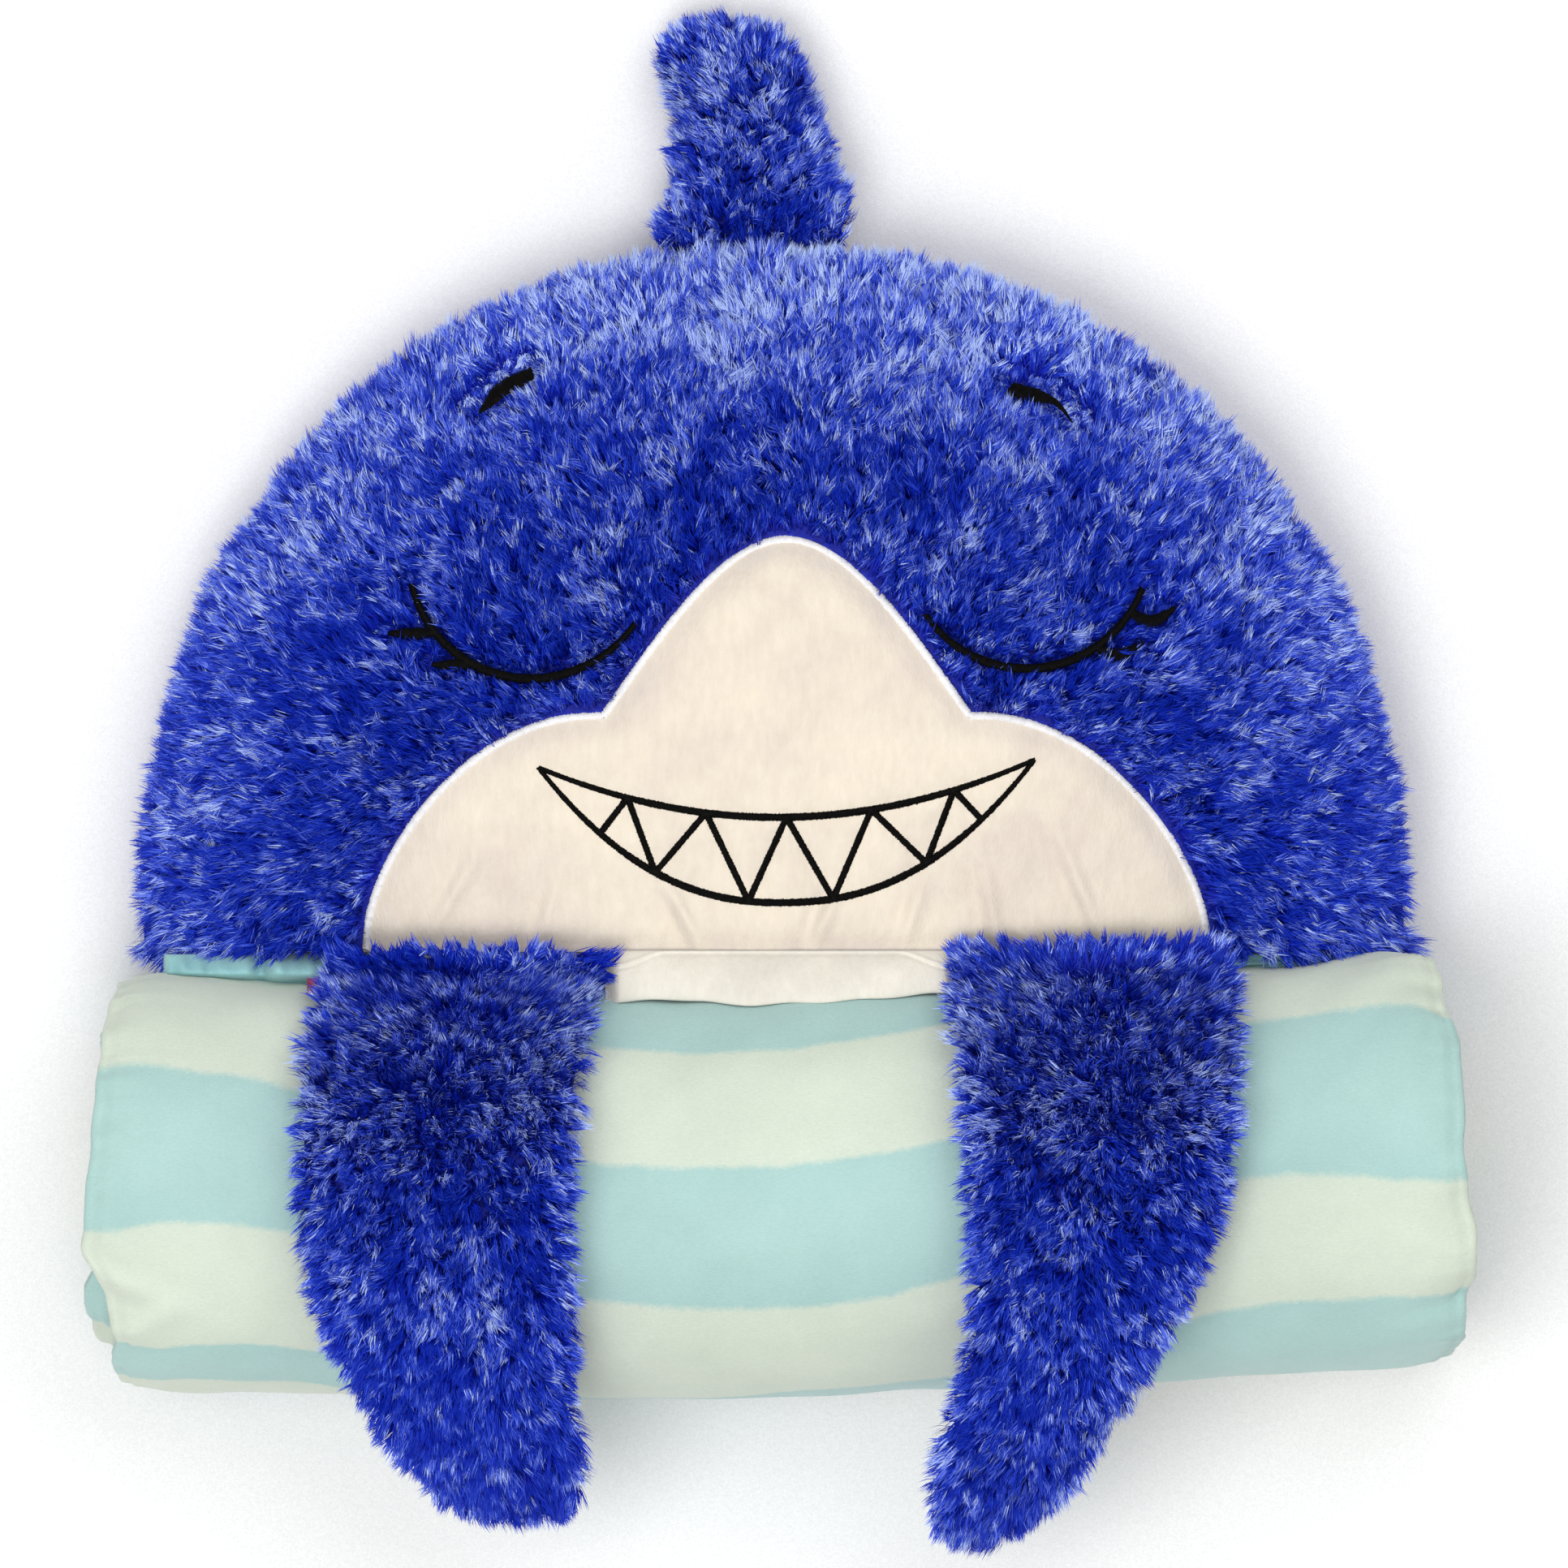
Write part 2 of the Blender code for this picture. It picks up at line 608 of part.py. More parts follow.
def main():
    clear_scene()
    materials = {
        "plush": cloth("blue_plush", (0.035, 0.060, 0.520), 0.90),
        "back_cloth": cloth("blue_cloth", (0.030, 0.055, 0.400), 0.80),
        "velboa": cloth("cream_velboa", (0.800, 0.720, 0.640), 0.85),
        "print": cloth("printed_cloth", (0.520, 0.750, 0.710), 0.75),
        "lining": cloth("mint_lining", (0.300, 0.620, 0.560), 0.70),
        "filling": cloth("fibre_filling", (0.900, 0.900, 0.890), 1.00),
        "black_thread": cloth("black_thread", (0.010, 0.010, 0.012), 0.45),
        "white_thread": cloth("white_thread", (0.900, 0.890, 0.880), 0.45),
        "label": cloth("red_label", (0.450, 0.030, 0.030), 0.60),
    }
    head = pivot("head_pivot", (0.0, FLIPPER_AXIS_Y, FLIPPER_AXIS_Z))
    build_head(materials, head)
    build_drawing(materials, head)
    fin = pivot("fin_pivot", (0.0, FIN_Y, FIN_AXIS_Z))
    build_fin(materials, fin)
    build_sack(materials)
    build_gusset(materials["lining"])
    build_chin(materials["velboa"])
    build_label(materials["label"])
    sides = (
        ("left", LEFT_TIP_Y, LEFT_OUTER, LEFT_INNER),
        ("right", RIGHT_TIP_Y, RIGHT_OUTER, RIGHT_INNER),
    )
    for side, tip_y, outer, inner in sides:
        holder = pivot(side + "_flipper_pivot", (0.0, FLIPPER_AXIS_Y, FLIPPER_AXIS_Z))
        build_flipper(side, tip_y, outer, inner, materials, holder)


main()
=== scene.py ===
"""Looks of the plush shark slumber bag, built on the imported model. Metres, +Z up.

The bag lies rolled up on its back: the plush head is its pillow, with a fin at the top, and two
flippers lie over the rolled quilt. All fur, stitching and cloth is made here in mesh code.
"""

import math

import bpy
import numpy as np
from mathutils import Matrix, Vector
from mathutils.kdtree import KDTree


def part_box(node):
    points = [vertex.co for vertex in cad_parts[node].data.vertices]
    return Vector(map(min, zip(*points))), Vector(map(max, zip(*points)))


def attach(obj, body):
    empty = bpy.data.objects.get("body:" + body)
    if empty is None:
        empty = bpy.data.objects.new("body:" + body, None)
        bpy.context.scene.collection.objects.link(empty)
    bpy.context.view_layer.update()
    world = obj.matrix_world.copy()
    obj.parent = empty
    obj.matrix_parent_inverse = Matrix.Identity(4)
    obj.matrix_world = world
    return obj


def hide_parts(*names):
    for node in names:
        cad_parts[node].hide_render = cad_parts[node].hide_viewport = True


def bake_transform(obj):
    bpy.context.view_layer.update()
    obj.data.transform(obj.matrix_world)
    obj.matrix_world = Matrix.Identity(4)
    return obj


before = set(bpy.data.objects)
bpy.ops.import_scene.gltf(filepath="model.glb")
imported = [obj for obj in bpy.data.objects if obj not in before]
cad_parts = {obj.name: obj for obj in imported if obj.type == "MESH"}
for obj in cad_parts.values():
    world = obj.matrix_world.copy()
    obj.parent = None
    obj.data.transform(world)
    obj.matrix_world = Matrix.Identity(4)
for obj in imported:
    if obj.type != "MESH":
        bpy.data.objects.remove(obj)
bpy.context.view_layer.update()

# ---------------------------------------------------------------- sizes shared with the CAD model

HEAD_X = -0.004
NECK_Y = -0.0810
HEAD_HALF_WIDTH = 0.299
HEAD_LENGTH = 0.330
HEAD_POWER = 2.2
SEAM_Z = 0.045
CROWN_RISE = 0.080
NECK_DIP = 0.017
NECK_DIP_REACH = 0.070
FLAT_SHARE = 0.72
PLUSH = 0.010
FACE_DEPTH = 0.005

FEATURE_X = 0.002
FEATURE_TILT = 0.016
MOUTH_HALF = 0.117
MOUTH_TIP_Y = 0.0067
UPPER_LIP_SHAPE = (0.0253, 2.0)
LOWER_LIP_SHAPE = (0.0656, 2.3)
TEETH_X = (-0.088, -0.075, -0.062, -0.038, -0.018, 0.000, 0.022, 0.040, 0.066, 0.079, 0.092)
# The closed lids are arcs, for the left eye (-1) and the right (1): distance of the middle from the
# nose, radius, and the angles in degrees at which the arc starts and ends. The lashes are short
# lines: angle on the lid, length and sag.
EYE_Y = 0.1075
EYE_SHAPES = {-1: (0.1197, 0.0588, -55, 77), 1: (0.1141, 0.0578, -57, 69)}
LASHES = {-1: ((29, 0.019, 0.0005), (52, 0.022, 0.0005)), 1: ((34, 0.022, 0.0042), (57, 0.021, 0.0048))}
# Each brow: three points of its upper edge, and its half width from its outer end to its inner end.
BROW_EDGES = {
    "left": ((-0.1440, 0.1734), (-0.1350, 0.1866), (-0.1194, 0.1941)),
    "right": ((0.1375, 0.1684), (0.1285, 0.1806), (0.1087, 0.1876)),
}
BROW_HALF = {
    "left": (0.0008, 0.0024, 0.0035, 0.0038, 0.0036, 0.0028),
    "right": (0.0004, 0.0009, 0.0018, 0.0032, 0.0036, 0.0034),
}

ROLL_Y = -0.190
ROLL_Z = 0.076
ROLL_HALF_DEPTH = 0.098
ROLL_HALF_HEIGHT = 0.087
ROLL_REACH = 0.090
ROLL_START = math.radians(-75)
ROLL_PITCH = 0.0172
ROLL_TURNS = 3.8
TUCK_FROM = 0.79

FLIPPER_AXIS_Z = 0.1040
FLIPPER_Y = -0.0850
CONTACT_Y = -0.1000
# A flipper's half thickness and its two long edges, at shares of the way to its tip.
FLIPPER_AT = (0.0, 0.05, 0.14, 0.26, 0.40, 0.55, 0.69, 0.81, 0.91, 0.97, 1.0)
FLIPPER_HALF = (0.0045, 0.0070, 0.0115, 0.0160, 0.0185, 0.0190, 0.0185, 0.0170, 0.0135, 0.0090, 0.0050)
LEFT_FLIPPER_TIP_Y = -0.3520
LEFT_FLIPPER_EDGES = (
    (-0.210, -0.2145, -0.221, -0.2265, -0.2275, -0.223, -0.211, -0.195, -0.175, -0.158, -0.145),
    (-0.082, -0.0865, -0.0915, -0.0955, -0.099, -0.0995, -0.0985, -0.098, -0.095, -0.097, -0.107),
)
RIGHT_FLIPPER_TIP_Y = -0.3640
RIGHT_FLIPPER_EDGES = (
    (0.2085, 0.211, 0.2135, 0.2135, 0.2075, 0.1935, 0.1745, 0.1545, 0.1345, 0.117, 0.104),
    (0.082, 0.0815, 0.082, 0.0845, 0.0875, 0.0885, 0.0855, 0.0785, 0.0725, 0.0725, 0.079),
)
REST_CLEARANCE = 0.0030
DROOP = 2.9
PILE_REACH = 0.010  # how far the pile stands out beyond the cloth at a tip
FLIPPER_PLUSH_SHARE = 0.36

FIN_Y = 0.2520
FIN_TIP_Y = 0.3640
FIN_AT = (0.0, 0.09, 0.22, 0.42, 0.62, 0.80, 0.93, 1.0)
FIN_LEFT = (-0.058, -0.057, -0.0525, -0.0505, -0.0515, -0.0555, -0.056, -0.042)
FIN_RIGHT = (0.026, 0.029, 0.0285, 0.0225, 0.0165, 0.0105, 0.000, -0.014)
FIN_HALF = (0.0020, 0.0080, 0.0150, 0.0205, 0.0215, 0.0195, 0.0145, 0.0060)
FIN_UNDER = (0.0380, 0.0280, 0.0150, 0.0040, 0.0000, 0.0000, 0.0020, 0.0090)
FIN_PLUSH_SHARE = 0.3

# ---------------------------------------------------------------- numbers and noise


def ease(share):
    share = np.clip(share, 0.0, 1.0)
    return share * share * (3 - 2 * share)


def bump(distance, width):
    """1 at no distance, falling to 0 over about twice the width."""
    return np.exp(-((distance / width) ** 2))


def curve_through(at, places, values):
    """A smooth curve through the values, read at the places at."""
    places = np.asarray(places, float)
    values = np.asarray(values, float)
    slopes = np.gradient(values, places)
    i = np.clip(np.searchsorted(places, at) - 1, 0, len(places) - 2)
    step = places[i + 1] - places[i]
    t = np.clip((at - places[i]) / step, 0.0, 1.0)
    a, b = values[i], values[i + 1]
    ma, mb = slopes[i] * step, slopes[i + 1] * step
    start = a * (1 + 2 * t) * (1 - t) ** 2 + ma * t * (1 - t) ** 2
    end = b * t * t * (3 - 2 * t) + mb * t * t * (t - 1)
    return start + end


def ripple(points, size, seed):
    """Smooth noise over points, mostly from -1 to 1, whose bumps are about size across."""
    rng = np.random.default_rng(seed)
    total = np.zeros(points.shape[:-1])
    for _ in range(7):
        way = rng.normal(size=3)
        way /= np.linalg.norm(way)
        pitch = size * rng.uniform(1.2, 2.6)
        total += np.sin(points @ way * (2 * math.pi / pitch) + rng.uniform(0, 2 * math.pi))
    return total / 2.4


def unit(vectors):
    return vectors / np.maximum(np.linalg.norm(vectors, axis=-1, keepdims=True), 1e-9)


def join(*parts):
    """Points from their coordinates, which may be numbers, rows, columns or whole grids."""
    return np.stack(np.broadcast_arrays(*parts), axis=-1)


def fold(dx, dy, way, length, wide, gap, groove):
    """A soft ridge that is 1 high, with a groove at gap beside it. way is in degrees."""
    way = math.radians(way)
    along = dx * math.cos(way) + dy * math.sin(way)
    across = -dx * math.sin(way) + dy * math.cos(way)
    return bump(along, length) * (bump(across, wide) - 0.6 * bump(across - gap, groove))


# ---------------------------------------------------------------- shapes shared with the CAD model


def head_reach(angle, depth=0.0):
    across = np.abs(np.cos(angle) / HEAD_HALF_WIDTH) ** HEAD_POWER
    along = np.abs(np.sin(angle) / HEAD_LENGTH) ** HEAD_POWER
    return (across + along) ** (-1 / HEAD_POWER) - depth


def front_height(x, y, depth=0.0):
    """Height of the pillow's upper side, depth below its surface."""
    along = np.maximum(y - NECK_Y, 0.0)
    angle = np.arctan2(along, x - HEAD_X)
    share = np.minimum(np.hypot(x - HEAD_X, along) / head_reach(angle, depth), 1.0)
    rise = CROWN_RISE - NECK_DIP * np.exp(-((along / NECK_DIP_REACH) ** 2)) - depth
    return SEAM_Z + rise * (1 - share**2.4) ** 0.6


def back_height(share, depth=0.0):
    beyond = np.maximum(share - FLAT_SHARE, 0.0) / (1 - FLAT_SHARE)
    return depth + (SEAM_Z - depth) * (1 - np.sqrt(np.maximum(1 - beyond * beyond, 0.0)))


def bezier(a, b, c, d, count):
    t = np.linspace(0.0, 1.0, count)[:, None]
    a, b, c, d = (np.array(p) for p in (a, b, c, d))
    return a * (1 - t) ** 3 + 3 * b * t * (1 - t) ** 2 + 3 * c * t * t * (1 - t) + d * t**3


def face_outline(count=90):
    """The face panel's outline, from its right end at the neck over the snout to its left end."""
    snout = bezier((0.0, 0.1127), (0.030, 0.1127), (0.060, 0.066), (0.0864, 0.029), count)
    cheek = bezier((0.0864, 0.029), (0.145, 0.033), (0.199, -0.035), (0.199, NECK_Y), count)
    half = np.vstack([snout[:-1], cheek])
    right = half[::-1] + (FEATURE_X, 0.0)
    left = half[1:] * (-1.0, 1.0) + (FEATURE_X, 0.0)
    return np.vstack([right, left])


OUTLINE = face_outline()


def face_reach(angle):
    """How far the face's outline is from the middle of the neck, in that direction."""
    away = OUTLINE - (HEAD_X, NECK_Y)
    angles = np.maximum(np.arctan2(away[:, 1], away[:, 0]), 0.0)
    return np.interp(angle, angles, np.hypot(away[:, 0], away[:, 1]))


def drawn(x, y):
    """A point of the sewn drawing, moved to the middle of the face and tilted."""
    return join(FEATURE_X + x, y + FEATURE_TILT * x)


def roll_shift(x):
    """How far the roll is bent and turned towards +Y at x."""
    return -0.005 + 0.0185 * x + 0.09 * x * x


def roll_top(x, y):
    away = (y - roll_shift(x) - ROLL_Y) / ROLL_HALF_DEPTH
    return ROLL_Z + ROLL_HALF_HEIGHT * np.sqrt(np.maximum(1 - away * away, 0.0))


# ---------------------------------------------------------------- meshes


def add_piece(name, mesh):
    piece = bpy.data.objects.new(name, mesh)
    bpy.context.scene.collection.objects.link(piece)
    return piece


def add_mesh(name, points, faces, material):
    mesh = bpy.data.meshes.new(name)
    mesh.from_pydata([tuple(p) for p in points], [], faces)
    mesh.materials.append(material)
    mesh.polygons.foreach_set("use_smooth", [True] * len(mesh.polygons))
    mesh.update()
    return add_piece(name, mesh)


def grid_faces(rows, columns, first=0, turn=False, ring=False):
    """Quads of a grid of points. With ring True the last column is joined to the first."""
    faces = []
    for i in range(rows - 1):
        for j in range(columns if ring else columns - 1):
            k = (j + 1) % columns
            quad = (
                first + i * columns + j,
                first + i * columns + k,
                first + (i + 1) * columns + k,
                first + (i + 1) * columns + j,
            )
            faces.append(quad[::-1] if turn else quad)
    return faces


def grid_piece(name, grid, material, turn=False):
    rows, columns = grid.shape[:2]
    return add_mesh(name, grid.reshape(-1, 3), grid_faces(rows, columns, turn=turn), material)


# ---------------------------------------------------------------- materials


def new_material(name, colour, roughness, sheen=0.0, specular=0.5):
    material = bpy.data.materials.new(name)
    material.use_nodes = True
    shader = material.node_tree.nodes["Principled BSDF"]
    shader.inputs["Base Color"].default_value = (*colour, 1.0)
    shader.inputs["Roughness"].default_value = roughness
    shader.inputs["Sheen Weight"].default_value = sheen
    shader.inputs["Specular IOR Level"].default_value = specular
    material.diffuse_color = (*colour, 1.0)
    return material


class Nodes:
    """Short ways to add nodes to a material."""

    def __init__(self, material):
        self.tree = material.node_tree
        self.shader = self.tree.nodes["Principled BSDF"]

    def add(self, kind, **values):
        node = self.tree.nodes.new(kind)
        for key, value in values.items():
            setattr(node, key, value)
        return node

    def link(self, a, b):
        self.tree.links.new(a, b)

    def noise(self, scale, detail=3.0, rough=0.55, stretch=None):
        node = self.add("ShaderNodeTexNoise")
        node.inputs["Scale"].default_value = scale
        node.inputs["Detail"].default_value = detail
        node.inputs["Roughness"].default_value = rough
        place = self.add("ShaderNodeTexCoord").outputs["Object"]
        if stretch:
            mapping = self.add("ShaderNodeMapping")
            mapping.inputs["Scale"].default_value = stretch
            self.link(place, mapping.inputs["Vector"])
            place = mapping.outputs["Vector"]
        self.link(place, node.inputs["Vector"])
        return node.outputs["Fac"]

    def math(self, operation, *values):
        node = self.add("ShaderNodeMath", operation=operation)
        for socket, value in zip(node.inputs, values):
            if isinstance(value, float):
                socket.default_value = value
            else:
                self.link(value, socket)
        return node.outputs[0]

    def ramp(self, value, stops):
        """A colour for each value. A stop's colour may be a plain number, for a grey."""
        node = self.add("ShaderNodeValToRGB")
        band = node.color_ramp
        while len(band.elements) < len(stops):
            band.elements.new(0.5)
        for element, (place, colour) in zip(band.elements, stops):
            element.position = place
            element.color = (*colour, 1.0) if isinstance(colour, tuple) else (colour, colour, colour, 1.0)
        self.link(value, node.inputs["Fac"])
        return node.outputs["Color"]

    def patches(self, value, dark, light, low=0.3, high=0.7):
        """Dark where the value is below low, light where it is above high."""
        return self.ramp(value, [(low, dark), (high, light)])

    def times(self, a, b):
        node = self.add("ShaderNodeMix", data_type="RGBA", blend_type="MULTIPLY")
        node.inputs[0].default_value = 1.0
        self.link(a, node.inputs[6])
        self.link(b, node.inputs[7])
        return node.outputs[2]

    def colour(self, value):
        self.link(value, self.shader.inputs["Base Color"])

    def roughness(self, value, low, high):
        self.link(self.patches(value, low, high), self.shader.inputs["Roughness"])

    def raise_by(self, value, distance, strength=1.0):
        node = self.add("ShaderNodeBump")
        node.inputs["Strength"].default_value = strength
        node.inputs["Distance"].default_value = distance
        self.link(value, node.inputs["Height"])
        self.link(node.outputs["Normal"], self.shader.inputs["Normal"])


def plush_skin():
    """The knitted ground of the plush, seen only between the tufts."""
    material = new_material("plush_ground", (0.010, 0.018, 0.22), 0.9)
    nodes = Nodes(material)
    nodes.colour(nodes.patches(nodes.noise(420), (0.004, 0.010, 0.24), (0.012, 0.026, 0.44), 0.35))
    nodes.raise_by(nodes.noise(900), 0.0006)
    return material


def blue_cloth():
    """Smooth brushed cloth, in the blue of the plush."""
    material = new_material("blue_cloth", (0.022, 0.040, 0.36), 0.8, sheen=0.3)
    nodes = Nodes(material)
    cloud = nodes.patches(nodes.noise(26, 5), (0.016, 0.030, 0.30), (0.034, 0.058, 0.46), high=0.72)
    fine = nodes.patches(nodes.noise(1300, 2), (0.72, 0.72, 0.76), 1.0)
    nodes.colour(nodes.times(cloud, fine))
    nodes.roughness(nodes.noise(60), 0.72, 0.9)
    nodes.raise_by(nodes.noise(1500, 2), 0.0003)
    return material


def velboa(name, light, dark):
    """Short-nap cloth: soft patches where the nap lies over, and a very fine grain."""
    material = new_material(name, light, 0.85, sheen=0.4)
    nodes = Nodes(material)
    cloud = nodes.patches(nodes.noise(22, 4, 0.6), dark, light, 0.32, 0.62)
    nap = nodes.patches(nodes.noise(260, 3, 0.6, (1.0, 0.35, 1.0)), (0.93, 0.92, 0.91), 1.0)
    nodes.colour(nodes.times(cloud, nap))
    nodes.roughness(nodes.noise(140), 0.78, 0.93)
    nodes.raise_by(nodes.noise(700, 3, 0.6, (1.0, 0.4, 1.0)), 0.0006, 0.6)
    return material


def printed_cloth():
    """Woven cloth with soft-edged wavy stripes. The band value grows by 1 from stripe to stripe."""
    cream, cream_edge = (0.640, 0.705, 0.590), (0.620, 0.690, 0.578)
    teal_edge, teal = (0.390, 0.592, 0.560), (0.410, 0.612, 0.580)
    material = new_material("printed_cloth", (0.7, 0.85, 0.8), 0.78, sheen=0.25)
    nodes = Nodes(material)
    band = nodes.add("ShaderNodeAttribute", attribute_name="band").outputs["Fac"]
    drift = nodes.math("MULTIPLY", nodes.math("SUBTRACT", nodes.noise(34, 3), 0.5), 0.10)
    fray = nodes.math("MULTIPLY", nodes.math("SUBTRACT", nodes.noise(420, 2), 0.5), 0.05)
    place = nodes.math("ADD", band, nodes.math("ADD", drift, fray))
    wave = nodes.math("SINE", nodes.math("MULTIPLY", place, math.pi))
    share = nodes.math("ADD", nodes.math("MULTIPLY", wave, 0.5), 0.5)
    stripes = nodes.ramp(share, [(0.0, cream), (0.46, cream_edge), (0.54, teal_edge), (1.0, teal)])
    yarn = (1.0, 2.4, 2.4)
    cloud = nodes.patches(nodes.noise(18, 5, 0.6), (0.90, 0.91, 0.91), 1.0)
    weave = nodes.patches(nodes.noise(520, 3, 0.7, yarn), (0.90, 0.91, 0.91), 1.0)
    nodes.colour(nodes.times(nodes.times(stripes, cloud), weave))
    nodes.roughness(nodes.noise(90), 0.70, 0.86)
    nodes.raise_by(nodes.noise(900, 2, 0.6, yarn), 0.0005, 0.5)
    return material


def plain_cloth(name, light, dark, scale=30, roughness=(0.66, 0.84)):
    material = new_material(name, light, 0.75, sheen=0.2)
    nodes = Nodes(material)
    cloud = nodes.patches(nodes.noise(scale, 4), dark, light, high=0.68)
    weave = nodes.patches(nodes.noise(1100, 2), 0.9, 1.0)
    nodes.colour(nodes.times(cloud, weave))
    nodes.roughness(nodes.noise(80), *roughness)
    nodes.raise_by(nodes.noise(1300, 2), 0.0004, 0.5)
    return material


def thread(name, light, dark, specular):
    """Glossy rayon thread."""
    material = new_material(name, light, 0.4, specular=specular)
    nodes = Nodes(material)
    nodes.colour(nodes.patches(nodes.noise(500, 2), dark, light))
    nodes.roughness(nodes.noise(900, 2), 0.30, 0.52)
    return material


GROUND = plush_skin()
BLUE_CLOTH = blue_cloth()
FACE_CLOTH = velboa("cream_velboa", (0.770, 0.690, 0.565), (0.690, 0.605, 0.520))
CHIN_CLOTH = velboa("chin_velboa", (0.770, 0.730, 0.640), (0.690, 0.655, 0.580))
PRINT = printed_cloth()
MINT = plain_cloth("mint_cloth", (0.320, 0.600, 0.600), (0.220, 0.460, 0.490))
FILLING = plain_cloth("fibre_filling", (0.90, 0.90, 0.89), (0.78, 0.78, 0.77))
BLACK_THREAD = thread("black_thread", (0.0050, 0.0045, 0.0040), (0.0016, 0.0014, 0.0014), 0.07)
WHITE_THREAD = thread("white_thread", (0.95, 0.94, 0.93), (0.86, 0.85, 0.84), 0.6)
RED_LABEL = plain_cloth("red_label", (0.42, 0.025, 0.035), (0.26, 0.015, 0.025), 300)

# Fur: each hair is painted dark at its root, as painted shade deep in the pile, and light at its tip,
# partly as painted highlight where the tips catch the light, in four shades. Every colour is one plain
# value, because a mesh this fine has no room for a painted texture.
FUR_SHADES = (
    ((0.0012, 0.0085, 0.340), (0.0020, 0.0120, 0.420), (0.0040, 0.0260, 0.500)),
    ((0.0014, 0.0090, 0.360), (0.0050, 0.0240, 0.500), (0.0230, 0.0680, 0.660)),
    ((0.0016, 0.0105, 0.380), (0.0200, 0.0540, 0.590), (0.1350, 0.2150, 0.850)),
    ((0.0020, 0.0125, 0.400), (0.0800, 0.1450, 0.730), (0.5200, 0.6500, 1.000)),
)
FUR = []
for shade, colours in enumerate(FUR_SHADES):
    for level, colour in enumerate(colours):
        FUR.append(new_material(f"fur_{shade}_{level}", colour, 0.55, specular=0.20))

# ---------------------------------------------------------------- fur

HAIR_LEVELS = 3  # faces along a hair: two quads, and a triangle at the tip
TUFT_SPACING = 0.0022
TUFT_HAIRS = 11
CLUMP_SPACING = 0.0075
CLUMP_PULL = 0.50  # how far the tips of a clump come together
HAIRS_IN_PIECE = 38000
HAIR_HALF_WIDTH = (0.00018, 0.00038)
HAIR_TAPER = (0.7, 1.0, 0.95)
SHADE_LIMITS = (-0.35, 0.35, 1.05)  # tones at which a hair takes the next lighter shade
SHORTEST_HAIR = 0.002
ROOT_DEPTH = 0.0004
FLOOR_GAP = 0.0006
UPRIGHT = 74.0  # how steeply the pile stands, in degrees


def scatter(surface, spacing, rng):
    """Points spread evenly over a grid surface, about spacing apart, with the surface's normals there."""
    a, b = surface[:-1, :-1], surface[1:, :-1]
    c, d = surface[1:, 1:], surface[:-1, 1:]
    normal = np.cross(c - a, d - b)
    area = np.linalg.norm(normal, axis=-1).ravel() / 2
    count = int(area.sum() / spacing**2)
    total = np.cumsum(area)
    cell = np.searchsorted(total, (np.arange(count) + rng.random(count)) / count * total[-1])
    cell = np.minimum(cell, area.size - 1)
    u, v = rng.random((2, count))[..., None]
    flat = [corner.reshape(-1, 3)[cell] for corner in (a, b, c, d)]
    points = (flat[0] * (1 - u) + flat[1] * u) * (1 - v) + (flat[3] * (1 - u) + flat[2] * u) * v
    return points, unit(normal.reshape(-1, 3)[cell])


def clumps(surface, points, rng):
    """Which clump each point belongs to, the way to that clump's middle, and how many clumps there are."""
    middles, _ = scatter(surface, CLUMP_SPACING, rng)
    tree = KDTree(len(middles))
    for i, middle in enumerate(middles):
        tree.insert(middle, i)
    tree.balance()
    which = np.array([tree.find(point)[1] for point in points])
    return which, middles[which] - points, len(middles)


def turned(vectors, axis, angle):
    """The vectors turned about axes that are square to them."""
    angle = angle[:, None]
    return vectors * np.cos(angle) + np.cross(axis, vectors) * np.sin(angle)


def hair_mesh(name, body, levels, side, wide, shades):
    """One mesh of flat tapered hairs, with two points at each level and one at the tip."""
    count = len(side)
    points = np.empty((count, 2 * HAIR_LEVELS + 1, 3), np.float32)
    for k, taper in enumerate(HAIR_TAPER):
        half = side * (wide * taper)[:, None]
        points[:, 2 * k] = levels[k] - half
        points[:, 2 * k + 1] = levels[k] + half
    points[:, -1] = levels[-1]
    corners = np.array([0, 1, 3, 2, 2, 3, 5, 4, 4, 5, 6])
    starts = np.array([0, 4, 8])
    loops = (np.arange(count)[:, None] * points.shape[1] + corners).ravel()
    firsts = (np.arange(count)[:, None] * len(corners) + starts).ravel()
    mesh = bpy.data.meshes.new(name)
    mesh.vertices.add(points.shape[0] * points.shape[1])
    mesh.vertices.foreach_set("co", points.ravel())
    mesh.loops.add(len(loops))
    mesh.loops.foreach_set("vertex_index", loops.astype(np.int32))
    mesh.polygons.add(len(firsts))
    mesh.polygons.foreach_set("loop_start", firsts.astype(np.int32))
    colours = shades[:, None] * HAIR_LEVELS + np.arange(HAIR_LEVELS)
    mesh.polygons.foreach_set("material_index", colours.ravel().astype(np.int32))
    mesh.polygons.foreach_set("use_smooth", np.ones(len(firsts), bool))
    for material in FUR:
        mesh.materials.append(material)
    mesh.update(calc_edges=True)
    piece = add_piece(name, mesh)
    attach(piece, body)


